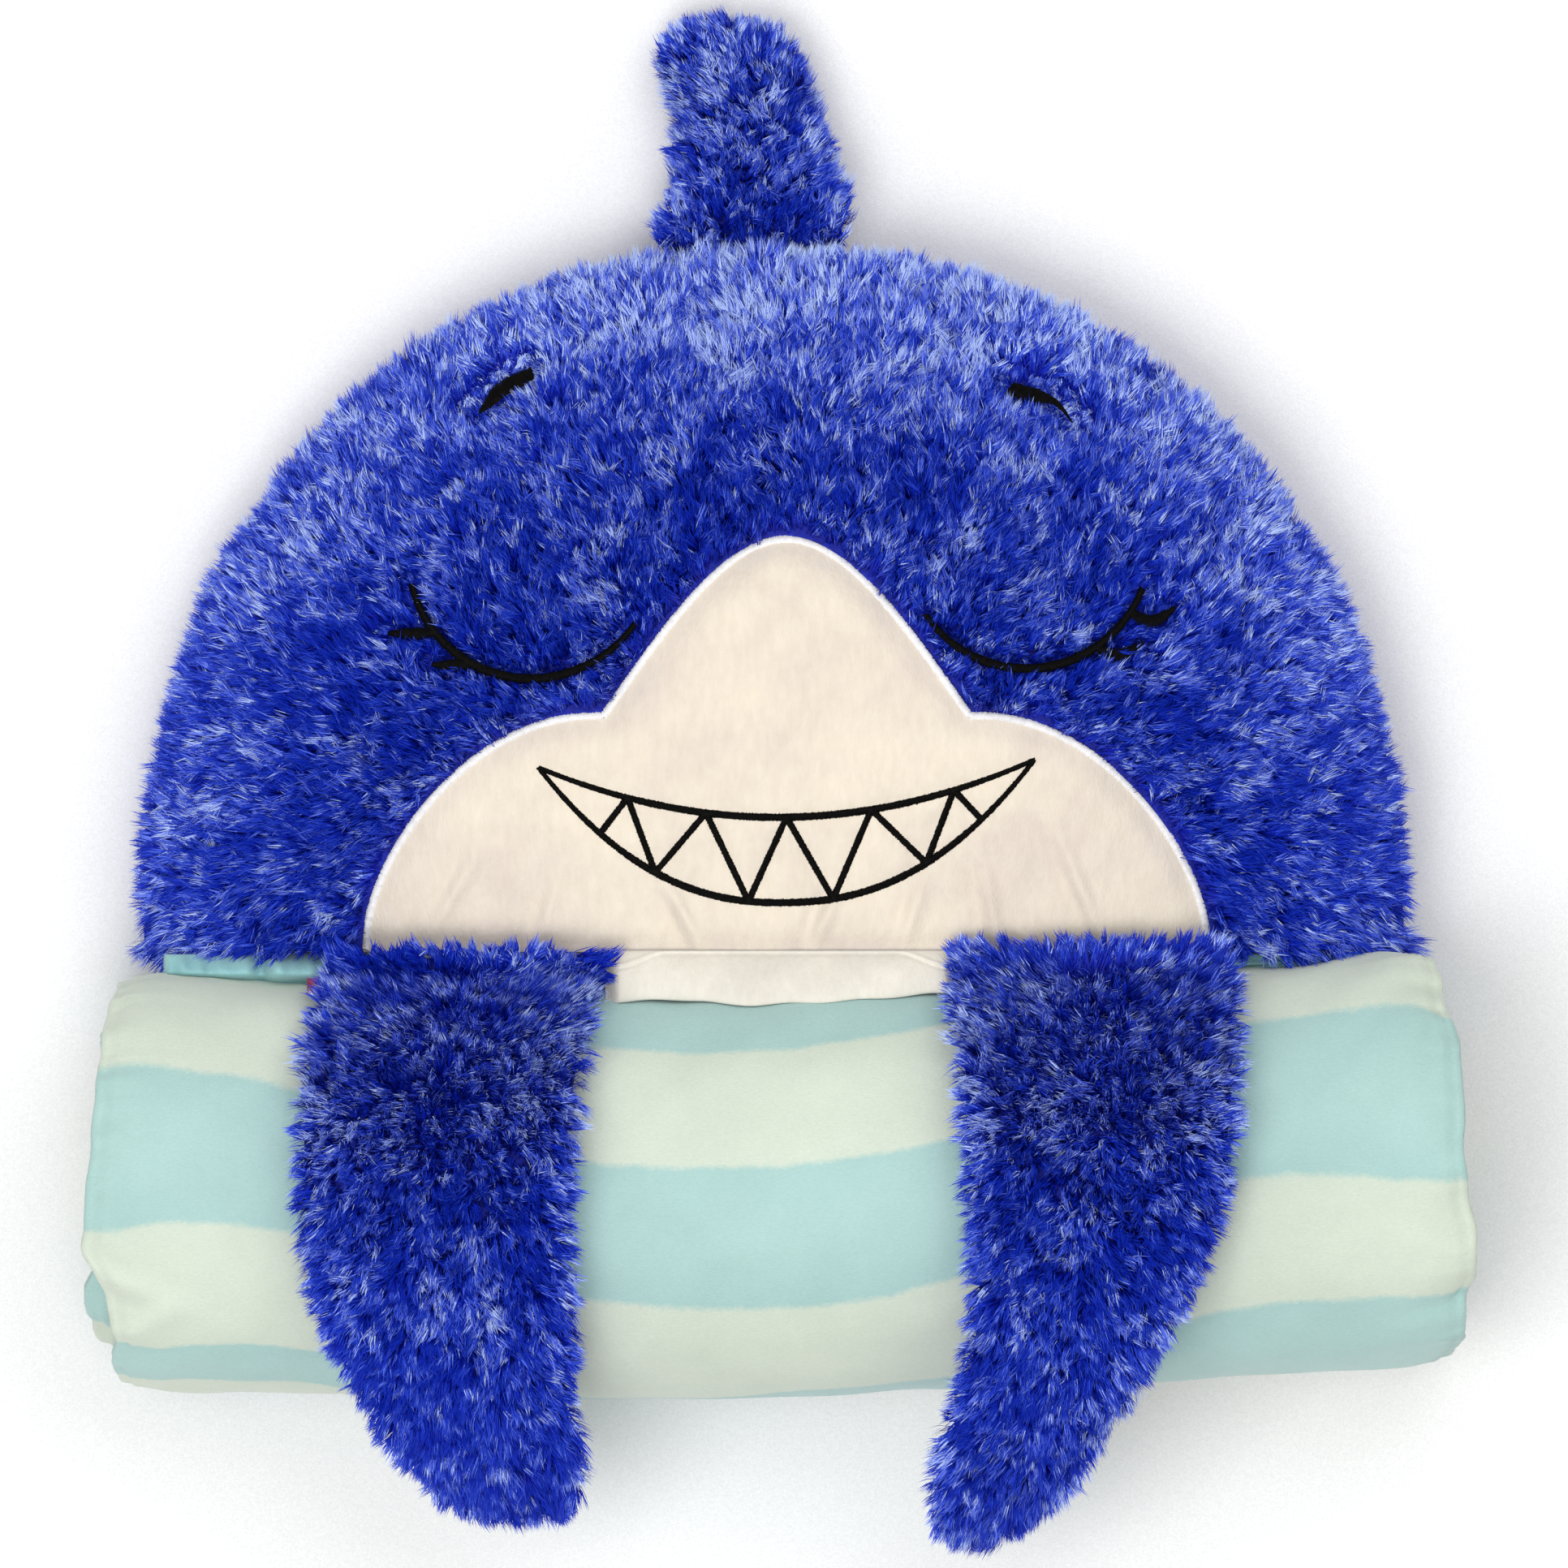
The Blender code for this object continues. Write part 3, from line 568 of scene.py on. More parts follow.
def grow_fur(name, body, surface, flow_of, length, seed, lift_of, tone_of, up=1, room=None):
    """Tufts of hair on a grid surface whose outside faces up (1) or down (-1).

    flow_of gives the way they lean, lift_of how steeply they stand, in degrees, and tone_of how much
    lighter they are painted, partly as painted light and shade on the pile. room gives the share of its
    length that each may have.
    """
    rng = np.random.default_rng(seed)
    centre, normal = scatter(surface, TUFT_SPACING, rng)
    if normal[:, 2].mean() * up < 0:
        normal = -normal
    tufts = len(centre)
    clump, inwards, clump_count = clumps(surface, centre, rng)
    lean = flow_of(centre)
    lean = unit(lean - normal * np.sum(lean * normal, axis=1, keepdims=True))
    swirl = 0.28 * ripple(centre, 0.030, seed + 1) + 0.32 * ripple(centre, 0.009, seed + 2)
    lean = turned(lean, normal, swirl + rng.normal(0.0, 0.48, tufts))
    size = length * (1 + 0.07 * ripple(centre, 0.016, seed + 3) + rng.normal(0.0, 0.06, tufts))
    rise = np.radians(lift_of(centre) + 9 * ripple(centre, 0.012, seed + 4) + rng.normal(0.0, 10.0, tufts))
    if room is not None:
        size = size * room(centre, lean, rise, size, rng)
    tone = tone_of(centre) + 0.24 * ripple(centre, 0.010, seed + 5) + 0.16 * ripple(centre, 0.022, seed + 7)
    tone += 0.16 * ripple(centre, 0.050, seed + 6) + rng.normal(0.0, 0.55, tufts)
    tone += rng.normal(0.0, 0.34, clump_count)[clump]

    which = np.repeat(np.flatnonzero(size > SHORTEST_HAIR), TUFT_HAIRS)
    count = len(which)
    lean, normal, centre, inwards = lean[which], normal[which], centre[which], inwards[which]
    side = np.cross(lean, normal)
    away = rng.normal(0.0, TUFT_SPACING * 0.60, (2, count))[..., None]
    spread = lean * away[0] + side * away[1]
    own = size[which] * rng.uniform(0.78, 1.06, count)
    angle = rise[which] + rng.normal(0.0, 0.10, count)
    path = centre - normal * ROOT_DEPTH
    levels = [path + spread]
    stray = (lean * rng.normal(0, 1, (count, 1)) + side * rng.normal(0, 1, (count, 1))) * 0.0008
    for k in range(HAIR_LEVELS):
        bent = angle * (1.12 - 0.17 * k)
        step = (own / HAIR_LEVELS)[:, None]
        path = path + step * (lean * np.cos(bent)[:, None] + normal * np.sin(bent)[:, None])
        share = (k + 1) / HAIR_LEVELS
        pull = CLUMP_PULL * share * share
        levels.append(path + spread * (1 - 0.80 * share) + stray * share + inwards * pull)
    for point in levels:
        point[:, 2] = np.maximum(point[:, 2], FLOOR_GAP)
    roll = rng.uniform(-0.9, 0.9, count)[:, None]
    flat = side * np.cos(roll) + normal * np.sin(roll)
    wide = rng.uniform(*HAIR_HALF_WIDTH, count)
    shades = np.digitize(tone[which] + rng.normal(0.0, 0.34, count), SHADE_LIMITS)
    for i, first in enumerate(range(0, count, HAIRS_IN_PIECE)):
        part = slice(first, first + HAIRS_IN_PIECE)
        points = [level[part] for level in levels]
        hair_mesh(f"{name}_{i + 1:02d}", body, points, flat[part], wide[part], shades[part])


# ---------------------------------------------------------------- the sewn drawing, as lines


def lip(x, drop, power):
    """The Y of a lip that hangs down by drop in the middle."""
    return MOUTH_TIP_Y - drop * (1 - np.abs(x / MOUTH_HALF) ** power)


def dense(points, step):
    """The line through the points, with a point about every step."""
    points = np.asarray(points, float)
    lengths = np.concatenate([[0.0], np.cumsum(np.linalg.norm(np.diff(points, axis=0), axis=1))])
    count = max(int(lengths[-1] / step), 2)
    at = np.linspace(0.0, lengths[-1], count)
    return np.stack([np.interp(at, lengths, points[:, i]) for i in range(points.shape[1])], axis=-1)


def eye_lines(side):
    """The closed lid and its lashes."""
    middle, radius, inner, outer = EYE_SHAPES[side]
    angle = np.linspace(math.radians(inner), math.radians(outer), 60)
    lines = [drawn(side * (middle + radius * np.sin(angle)), EYE_Y - radius * np.cos(angle))]
    along = np.linspace(0.0, 1.0, 16)
    for at, length, sag in LASHES[side]:
        x = middle + radius * math.sin(math.radians(at))
        y = EYE_Y - radius * math.cos(math.radians(at))
        lines.append(drawn(side * (x + length * along), y - sag * np.sin(1.10 * math.pi * along)))
    return lines


def brow_line(points, half):
    """The middle line of a thick brow, from three points along its upper edge and its half width."""
    along = np.linspace(0.0, 1.0, 30)
    x, y = (curve_through(along, (0.0, 0.48, 1.0), [p[i] for p in points]) for i in (0, 1))
    edge = join(x, y)
    way = unit(np.gradient(edge, axis=0))
    down = join(way[:, 1], -way[:, 0])
    down *= -np.sign(down[:, 1:2])
    return edge + down * np.interp(along, np.linspace(0.0, 1.0, len(half)), half)[:, None]


EYES = {"left": eye_lines(-1), "right": eye_lines(1)}
BROWS = {side: brow_line(points, BROW_HALF[side]) for side, points in BROW_EDGES.items()}
SEWN = np.vstack([dense(line, 0.003) for lines in EYES.values() for line in lines])
SEWN_BROWS = np.vstack([dense(line, 0.003) for line in BROWS.values()])


def nearest(points, line):
    """How far each point is from the points of a line, seen from above."""
    best = np.full(len(points), 1.0)
    for x, y in line:
        best = np.minimum(best, np.hypot(points[:, 0] - x, points[:, 1] - y))
    return best


# ---------------------------------------------------------------- head


def head_surface(depth, start_of, rows=260, columns=90):
    """A grid over the pillow's upper side, from a start line out to the seam."""
    angle = np.linspace(0.0, math.pi, rows)[:, None]
    first = np.arcsin(np.clip(start_of(angle) / head_reach(angle, depth), 0.0, 1.0))
    share = np.sin(first + (math.pi / 2 - first) * np.linspace(0.0, 1.0, columns)[None, :])
    reach = head_reach(angle, depth) * share
    x = HEAD_X + reach * np.cos(angle)
    y = NECK_Y + reach * np.sin(angle)
    z = front_height(x, y, depth)
    z[:, -1] = SEAM_Z
    return join(x, y, z)


def head_flow(points):
    """The pile leans outwards from the face, upwards near the top and downwards along the neck."""
    x, y = points[:, 0] - FEATURE_X, points[:, 1] + 0.030
    x = x * (0.55 + 0.45 * ease((np.abs(x) - 0.18) / 0.10))
    flow = unit(join(x, y, 0.0))
    flow[:, 1] += 0.25 * ease((points[:, 1] - 0.02) / 0.15)
    flow[:, 1] -= 1.0 * (1 - ease((points[:, 1] - NECK_Y) / 0.035))
    return flow


def head_share(points):
    """0 in the middle of the neck seam, 1 on the pillow's outline."""
    return np.hypot((points[:, 0] - HEAD_X) / HEAD_HALF_WIDTH, (points[:, 1] - NECK_Y) / HEAD_LENGTH)


def head_lift(points):
    """The pile stands up in the middle, and lies over towards the rim."""
    return UPRIGHT - 22.0 * ease((head_share(points) - 0.60) / 0.40)


def head_tone(points):
    """The pile is lightest round the top and deepest inside the rim, a little more so at the left: painted
    highlight where the tips round the rim catch the light, and painted shade where one looks down into the
    pile.
    """
    high = ease((points[:, 1] + 0.04) / 0.20)
    rim = ease((head_share(points) - 0.66) / 0.34)
    crown = bump(points[:, 0] - HEAD_X, 0.12) * ease((points[:, 1] - 0.12) / 0.08)
    return -0.20 + rim * (0.14 + 0.74 * high) + 0.42 * crown + 0.16 * points[:, 0] / HEAD_HALF_WIDTH * high


def room_for_drawing(centre, lean, rise, size, rng):
    """Hairs stop short of the sewn lines on the pile, apart from a few that fall over them.

    The pile also hangs lower over the two ends of the neck, most of all at the right.
    """
    low = 1 - ease((centre[:, 1] - NECK_Y) / 0.018)
    right, left = ease((centre[:, 0] - 0.18) / 0.04), ease((-0.20 - centre[:, 0]) / 0.03)
    share = 1 + low * (0.62 * right + 0.30 * left)
    for line, bare, over, shortest in (
        # points of the line, how far to each side it shows, share of hairs over it, shortest hair
        (SEWN, 0.0046, 0.01, 0.42),
        (SEWN_BROWS, 0.0090, 0.00, 0.28),
        (OUTLINE[::4], 0.0042, 0.05, 0.10),
    ):
        away = nearest(centre, line)
        near = away < 0.030
        found = np.ones(near.sum())
        for step in (0.85, 0.7, 0.55, 0.4, 0.25, 0.12, 0.0):
            along = centre[near] + lean[near] * (step * size[near] * np.cos(rise[near]))[:, None]
            hit = nearest(along, line) < bare
            found[hit] = np.minimum(found[hit], max(step - 0.10, shortest))
        falls_over = rng.random(near.sum()) < over
        found = found * (1 - 0.20 * bump(away[near] - bare, 0.005))
        share[near] = np.minimum(share[near], np.where(falls_over, 1.0, found))
    return share


def build_head():
    overlap = 0.0015
    skin = head_surface(PLUSH - overlap, lambda angle: face_reach(angle) + overlap)
    piece = grid_piece("head_plush_ground", skin, GROUND, turn=True)
    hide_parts("head_front_panel")
    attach(piece, "head")
    grow_fur("head_fur", "head", skin, head_flow, 0.0180, 11, head_lift, head_tone, room=room_for_drawing)


# ---------------------------------------------------------------- flippers and fin


def flipper_under(x, y):
    high = roll_top(x, CONTACT_Y) + REST_CLEARANCE
    share = (y - CONTACT_Y) / (FLIPPER_Y - CONTACT_Y)
    seam = high + (FLIPPER_AXIS_Z - 0.004 - high) * share
    over = roll_top(x, y) + REST_CLEARANCE
    free = roll_top(x, ROLL_Y) + REST_CLEARANCE - DROOP * (y - ROLL_Y) ** 2
    return np.where(y > CONTACT_Y, seam, np.where(y > ROLL_Y, over, free))


def lit_edge_tone(middle, wide, tone_of):
    """The tone along a flat stuffed piece, with painted highlight on its long edges, where the tips catch
    the light, lighter than its middle.
    """
    at = np.argsort(middle[:, 1])

    def tone(points):
        x, half = (np.interp(points[:, 1], middle[at, 1], values[at]) for values in (middle[:, 0], wide))
        off = np.abs(points[:, 0] - x) / half
        return tone_of(points) - 0.10 + 0.50 * ease((off - 0.55) / 0.45)

    return tone


def half_rings(middle, wide, high, sign, columns):
    """Rows of points over the upper (sign 1) or under (sign -1) side of a flat stuffed piece.

    The last row closes the tip.
    """
    middle = np.vstack([middle, middle[-1:]])
    wide, high = np.append(wide, 0.0003), np.append(high, 0.0003)
    angle = np.linspace(0.0, math.pi, columns)[None, :]
    x = middle[:, 0:1] + wide[:, None] * np.cos(angle)
    z = middle[:, 2:3] + sign * high[:, None] * np.sin(angle)
    return join(x, middle[:, 1:2], z)


def tapering_rows(places, edges, halves, start_y, tip_y, count):
    """Rows along a flat stuffed piece: how far along, X, Y, half width and half height of each."""
    at = np.sin(np.linspace(0.0, math.pi / 2, count)) ** 1.2
    one, other, high = (curve_through(at, places, values) for values in (*edges, halves))
    return at, (one + other) / 2, start_y + (tip_y - start_y) * at, np.abs(one - other) / 2, high


def flipper_flow(side):
    def flow(points):
        x = points[:, 0]
        outward = (np.abs(x) - 0.150) / 0.060
        along = -1.0 + 2.0 * ease((points[:, 1] + 0.0985) / 0.009)
        return join(side * outward * 0.9, along, -0.35 * np.abs(outward))

    return flow


def flipper_lift(points):
    """The pile lies flatter where the flipper climbs onto the roll."""
    return UPRIGHT - 20.0 * ease((points[:, 1] + 0.145) / 0.040)


def flipper_tone(points):
    """The pile is painted lighter where the flipper bends over the roll and climbs towards the neck, as
    painted light that lifts the shade falling in the pile there; it is darker again by the neck seam, and
    the left tip is the darkest.
    """
    tip = ease((-0.23 - points[:, 1]) / 0.08)
    bend = 0.42 * bump(points[:, 1] + 0.156, 0.024)
    top = 0.42 * ease((points[:, 1] + 0.17) / 0.06) - 0.45 * ease((points[:, 1] + 0.112) / 0.022)
    return -0.12 + top + bend + tip * np.where(points[:, 0] < 0, -0.15, 0.05)


def build_flipper(name, side, tip_y, edges, seed):
    rows = tapering_rows(FLIPPER_AT, edges, FLIPPER_HALF, FLIPPER_Y, tip_y + PILE_REACH, 46)
    _, x, y, wide, high = rows
    middle = join(x, y, flipper_under(x, y) + high)
    inside = FLIPPER_PLUSH_SHARE * high
    skin = half_rings(middle, wide - inside, high - inside, 1, 26)
    ground = grid_piece(f"{name}_flipper_ground", skin, GROUND, turn=side < 0)
    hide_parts(f"{name}_flipper_upper_panel", f"{name}_flipper_filling")
    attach(ground, f"{name}_flipper")
    under = half_rings(middle, wide - inside * 0.6, high * 0.95, -1, 26)
    under[..., 2] += 0.0007 * ripple(under, 0.022, seed + 40)
    lining = grid_piece(f"{name}_flipper_underside", under, BLUE_CLOTH, turn=side > 0)
    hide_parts(f"{name}_flipper_under_panel")
    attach(lining, f"{name}_flipper")
    flow = flipper_flow(side)
    tone = lit_edge_tone(middle, wide, flipper_tone)
    grow_fur(f"{name}_flipper_fur", f"{name}_flipper", skin, flow, 0.0155, seed, flipper_lift, tone)


def fin_flow(points):
    return join((points[:, 0] + 0.020) / 0.040 * 0.8, 1.0, 0.0)


def fin_lift(points):
    return np.full(len(points), UPRIGHT)


def fin_tone(points):
    """The pile is lightest at the tip, and darkest along the seam, as painted shade where the fin meets the
    head.
    """
    return 0.42 + 0.20 * ease((points[:, 1] - 0.31) / 0.04) - 0.55 * ease((0.272 - points[:, 1]) / 0.012)


def build_fin():
    rows = tapering_rows(FIN_AT, (FIN_LEFT, FIN_RIGHT), FIN_HALF, FIN_Y, FIN_TIP_Y - PILE_REACH, 30)
    at, x, y, wide, high = rows
    middle = join(x, y, curve_through(at, FIN_AT, FIN_UNDER) + high)
    inside = FIN_PLUSH_SHARE * high
    wide = wide - inside
    top = half_rings(middle, wide, high - inside, 1, 22)
    bottom = half_rings(middle, wide, high - inside, -1, 22)
    tone = lit_edge_tone(middle, wide, fin_tone)
    for name, nodes, grid, up, length, seed in (
        ("fin_ground_front", ("fin_front_panel", "fin_filling"), top, 1, 0.0145, 61),
        ("fin_ground_back", ("fin_back_panel",), bottom, -1, 0.0110, 62),
    ):
        piece = grid_piece(name, grid, GROUND, turn=up > 0)
        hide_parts(*nodes)
        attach(piece, "fin")
        fur = name.replace("ground", "fur")
        grow_fur(fur, "fin", grid, fin_flow, length, seed, fin_lift, tone, up=up)


# ---------------------------------------------------------------- stitching

STITCH_PITCH = 0.00042
STITCH_RISE = 0.0007
STITCH_ARCH = (-1.0, -0.6, 0.0, 0.6, 1.0)  # places across the line
THREAD_SECTION = ((-0.00024, 0.0), (0.0, 0.0002), (0.00024, 0.0), (0.0, -0.0002))
POINTS_IN_STITCH = len(STITCH_ARCH) * len(THREAD_SECTION)

# Half widths of the sewn lines, from start to end.
BORDER_HALF = (0.0019, 0.0019)
LIP_HALF = (0.0013, 0.0020, 0.0021, 0.0020, 0.0013)
TOOTH_HALF = (0.0018, 0.0018)
LID_HALF = (0.0014, 0.0021, 0.0022, 0.0021, 0.0016)
LASH_HALF = (0.0018, 0.0030, 0.0026, 0.0010)


def satin(name, lines, half, height_of, material=BLACK_THREAD):
    """Satin stitch on the head: short arched threads laid across each line, side by side.

    half lists the half width of the line from its start to its end.
    """
    rng = np.random.default_rng(len(name))
    points, faces = [], []
    for line in lines:
        centre = dense(line, STITCH_PITCH)
        along = unit(np.gradient(centre, axis=0))
        across = join(-along[:, 1], along[:, 0])
        share = np.linspace(0.0, 1.0, len(centre))
        wide = np.interp(share, np.linspace(0.0, 1.0, len(half)), half)
        wide = wide * rng.uniform(0.88, 1.12, len(centre))
        rings = []
        for u in STITCH_ARCH:
            flat = centre + across * (wide * u)[:, None] + along * (0.30 * wide * u)[:, None]
            z = height_of(flat[:, 0], flat[:, 1]) + STITCH_RISE * (1 - abs(u) ** 2.5 * 1.5)
            corners = []
            for sway, lift in THREAD_SECTION:
                at = flat + along * sway
                corners.append(join(at[:, 0], at[:, 1], z + lift))
            rings.append(np.stack(corners, axis=1))
        for thread_points in np.stack(rings, axis=1):
            first = len(points) * POINTS_IN_STITCH
            faces += grid_faces(len(STITCH_ARCH), len(THREAD_SECTION), first, ring=True)
            points.append(thread_points.reshape(-1, 3))
    piece = add_mesh(name, np.vstack(points), faces, material)
    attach(piece, "head")
    return piece


def face_height(x, y):
    """The face cloth: puffed up between its border and the sewn mouth, with soft puckers by the neck."""
    points = join(np.ravel(x), np.ravel(y))
    z = front_height(points[:, 0], points[:, 1], FACE_DEPTH)
    z = z - 0.0032 * bump(nearest(points, OUTLINE[::3]), 0.0085)
    z = z - 0.0011 * bump(nearest(points, MOUTH_POINTS), 0.0042)
    z = z - 0.0045 * bump(points[:, 1] - NECK_Y, 0.0075)
    for fold_x, fold_y, way, length, high in FACE_FOLDS:
        dx, dy = points[:, 0] - fold_x, points[:, 1] - fold_y
        z = z + high * fold(dx, dy, way, length, 0.0034, 0.0062, 0.0036)
    flat = join(points[:, 0], points[:, 1], 0.0)
    z = z + 0.0005 * ripple(flat, 0.020, 5) + 0.0008 * ripple(flat, 0.060, 6)
    return z.reshape(np.shape(x))


def mouth_lines():
    x = MOUTH_HALF * np.sin(np.linspace(-math.pi / 2, math.pi / 2, 90))
    upper = drawn(x, lip(x, *UPPER_LIP_SHAPE))
    lower = drawn(x, lip(x, *LOWER_LIP_SHAPE))
    shapes = (LOWER_LIP_SHAPE, UPPER_LIP_SHAPE)
    corners = [drawn(place, lip(place, *shapes[i % 2])) for i, place in enumerate(TEETH_X)]
    teeth = [np.stack([a, b]) for a, b in zip(corners[:-1], corners[1:])]
    return upper, lower, teeth


UPPER_LIP, LOWER_LIP, TEETH = mouth_lines()
MOUTH_POINTS = np.vstack([dense(line, 0.004) for line in (UPPER_LIP, LOWER_LIP, *TEETH)])
# Soft puckers of the face cloth: place, direction in degrees, half length and height.
FACE_FOLDS = (
    (-0.046, -0.066, 118, 0.016, 0.0034),
    (0.020, -0.068, 66, 0.013, 0.0032),
    (0.062, -0.064, 74, 0.015, 0.0030),
    (0.098, -0.058, 100, 0.020, 0.0036),
    (0.140, -0.050, 112, 0.024, 0.0034),
    (-0.110, -0.062, 75, 0.016, 0.0024),
    (-0.155, -0.055, 60, 0.018, 0.0026),
)


def build_face():
    angle = np.linspace(0.0, math.pi, 230)[:, None]
    reach = (face_reach(angle) + 0.0012) * np.linspace(0.0, 1.0, 110)[None, :]
    x = HEAD_X + reach * np.cos(angle)
    y = NECK_Y + reach * np.sin(angle)
    grid = join(x, y, face_height(x, y))
    hems = [[grid[row] + (0.0, -0.0022 * k, -0.0008 * k * k) for k in (1, 2, 3)] for row in (0, -1)]
    grid = np.concatenate([hems[0][::-1], grid, hems[1]])
    face = grid_piece("face_cloth", grid, FACE_CLOTH, turn=True)
    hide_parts("face_panel")
    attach(face, "head")

    border = satin("face_border", [OUTLINE], BORDER_HALF, face_height, WHITE_THREAD)
    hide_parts("face_border_stitching")
    mouth = satin("mouth_line", [UPPER_LIP, LOWER_LIP], LIP_HALF, face_height)
    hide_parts("mouth_stitching")
    teeth = satin("teeth_line", TEETH, TOOTH_HALF, face_height)
    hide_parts("teeth_stitching")


def pile_height(x, y):
    """Where the stitches on the pile lie, with the pile pressed down under them."""
    return front_height(x, y, 0.0) + 0.0028


def build_eyes():
    for side in ("left", "right"):
        lid, *lashes = EYES[side]
        eye = satin(f"{side}_eye", [lid], LID_HALF, pile_height)
        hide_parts(f"{side}_eye_stitching")
        satin(f"{side}_lashes", lashes, LASH_HALF, pile_height)
        brow = satin(f"{side}_brow", [BROWS[side]], BROW_HALF[side], pile_height)
        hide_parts(f"{side}_brow_stitching")


# ---------------------------------------------------------------- back of the head and the neck


def build_back():
    angle = np.linspace(0.0, math.pi, 160)[:, None]
    share = np.sin(np.linspace(0.0, math.pi / 2, 70))[None, :]
    reach = head_reach(angle) * share
    x = HEAD_X + reach * np.cos(angle)
    y = NECK_Y + reach * np.sin(angle)
    z = back_height(share)
    rounded = np.clip((share - FLAT_SHARE) / (1 - FLAT_SHARE), 0.0, 1.0)
    z = z + 0.0010 * (1 + ripple(join(x, y, z), 0.030, 71)) * np.sin(math.pi * rounded)
    piece = grid_piece("head_back_cloth", join(x, y, np.minimum(z, SEAM_Z)), BLUE_CLOTH)
    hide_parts("head_back_panel")
    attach(piece, "head")


def build_neck():
    """The cloth that closes the pillow towards the roll."""
    share = np.sin(np.linspace(-math.pi / 2, math.pi / 2, 120))[:, None]
    rise = np.linspace(0.0, 1.0, 24)[None, :]
    x = HEAD_X + share * (HEAD_HALF_WIDTH - 0.004)
    low = back_height(np.abs(share))
    high = np.maximum(front_height(x, NECK_Y, PLUSH - 0.002), low)
    z = low + (high - low) * rise
    flat_y = NECK_Y - 0.0012
    puff = np.sin(math.pi * rise) * 0.0009
    y = flat_y - puff * (1 + 0.5 * ripple(join(x, flat_y, z), 0.018, 72))
    neck = grid_piece("head_neck_cloth", join(x, y, z), BLUE_CLOTH, turn=True)
    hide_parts("head_neck_panel")
    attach(neck, "head")


def roll_flank(x, z):
    """The y of the roll's side towards the head."""
    rise = (z - ROLL_Z) / ROLL_HALF_HEIGHT
    return ROLL_Y + roll_shift(x) + ROLL_HALF_DEPTH * np.sqrt(np.maximum(1 - rise * rise, 0.0))


# The chin strip's lower edge, as Y at places along X.
CHIN_X = (-0.0835, -0.078, -0.038, -0.0273, 0.0015, 0.034, 0.0706, 0.0835)
CHIN_BOTTOM = (-0.1060, -0.1058, -0.1054, -0.1069, -0.1066, -0.1050, -0.1020, -0.1012)


def build_gusset():
    """The gathered cloth between the head and the roll."""
    left, right = -0.295, 0.291
    x = np.linspace(left, right, 520)[:, None]
    share = np.linspace(0.0, 1.0, 26)[None, :]
    start_y = NECK_Y - 0.0025
    end_y = roll_flank(x, 0.088) - 0.001
    y = start_y + (end_y - start_y) * share
    z = 0.080 + 0.009 * share + 0.006 * np.sin(math.pi * share) ** 0.8 - 0.009 * bump(share - 0.90, 0.16)
    plan = join(x, y * 0.25, 0.0)
    pleat = ripple(plan, 0.0085, 81) + 0.7 * ripple(plan, 0.020, 82)
    pleat = pleat + 0.7 * ripple(plan, 0.0045, 83) * (1 - share)
    z = z + 0.0023 * pleat * (0.35 + np.sin(math.pi * share))
    z = z - 0.010 * bump(x + 0.246, 0.004) * np.sin(math.pi * share)
    z = z - 0.010 * ease((x - 0.17) / 0.05) * np.sin(math.pi * share)
    end = np.clip(np.minimum(x - left, right - x) / 0.004, 0.0, 1.0)
    z = z * (0.4 + 0.6 * np.sqrt(end))
    piece = grid_piece("neck_gather", join(x, y, z), MINT)
    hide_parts("neck_gusset")
    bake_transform(piece)


def build_chin():
    """The padded strip between the flippers, with a thin rolled edge along the neck seam."""
    x = np.linspace(CHIN_X[0], CHIN_X[-1], 150)[:, None]
    turn = np.linspace(0.0, 1.0, 80)[None, :]
    top_y = -0.0816
    seam_y = -0.0814 - 0.0070 * ease((np.abs(x) - 0.0535) / 0.026)
    bottom_y = curve_through(x, CHIN_X, CHIN_BOTTOM) + 0.0004 * np.sin(x * 190 + 1)
    start_z = front_height(x, NECK_Y, FACE_DEPTH) - 0.003
    end_z = roll_top(x, bottom_y) + 0.0012
    y = top_y + (bottom_y - top_y) * turn
    z = start_z + (end_z - start_z) * turn
    z = z + 0.0050 * np.sin(math.pi * turn) ** 0.5
    z = z + 0.0013 * bump(y - seam_y, 0.0008) - 0.0006 * bump(y - seam_y + 0.0019, 0.0009)
    z = z - 0.0060 * ease((np.abs(x) - 0.0765) / 0.007)
    flat = join(x, y * 0.4, 0.0)
    z = z + 0.0006 * ripple(flat, 0.010, 91) * np.sin(math.pi * turn) + 0.0007 * ripple(flat, 0.035, 92)
    piece = grid_piece("chin_pad", join(x, y, z), CHIN_CLOTH)
    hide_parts("chin_strip")
    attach(piece, "sack")


def build_label():
    """A small blank ribbon tab, folded over and sewn in."""
    low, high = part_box("care_label")
    middle = (low + high) / 2
    around = np.linspace(0.0, 1.0, 26)[:, None]
    across = np.linspace(-0.5, 0.5, 8)[None, :]
    angle = math.pi * np.clip((around - 0.4) / 0.2, 0.0, 1.0)
    out = np.where(around < 0.5, around / 0.4, (1 - around) / 0.4)
    x = middle.x + 0.0040 + 0.0100 * across
    y = NECK_Y - 0.0095 - 0.0110 * np.minimum(out, 1.0) - 0.0008 * np.sin(angle)
    z = np.maximum(0.0905, roll_top(x, y) + 0.0018) + 0.0008 * np.cos(angle) + 0.0004 * np.sin(across * 5)
    piece = grid_piece("blank_label", join(x, y, z), RED_LABEL)
    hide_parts("care_label")
    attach(piece, "sack")


# ---------------------------------------------------------------- the rolled quilt

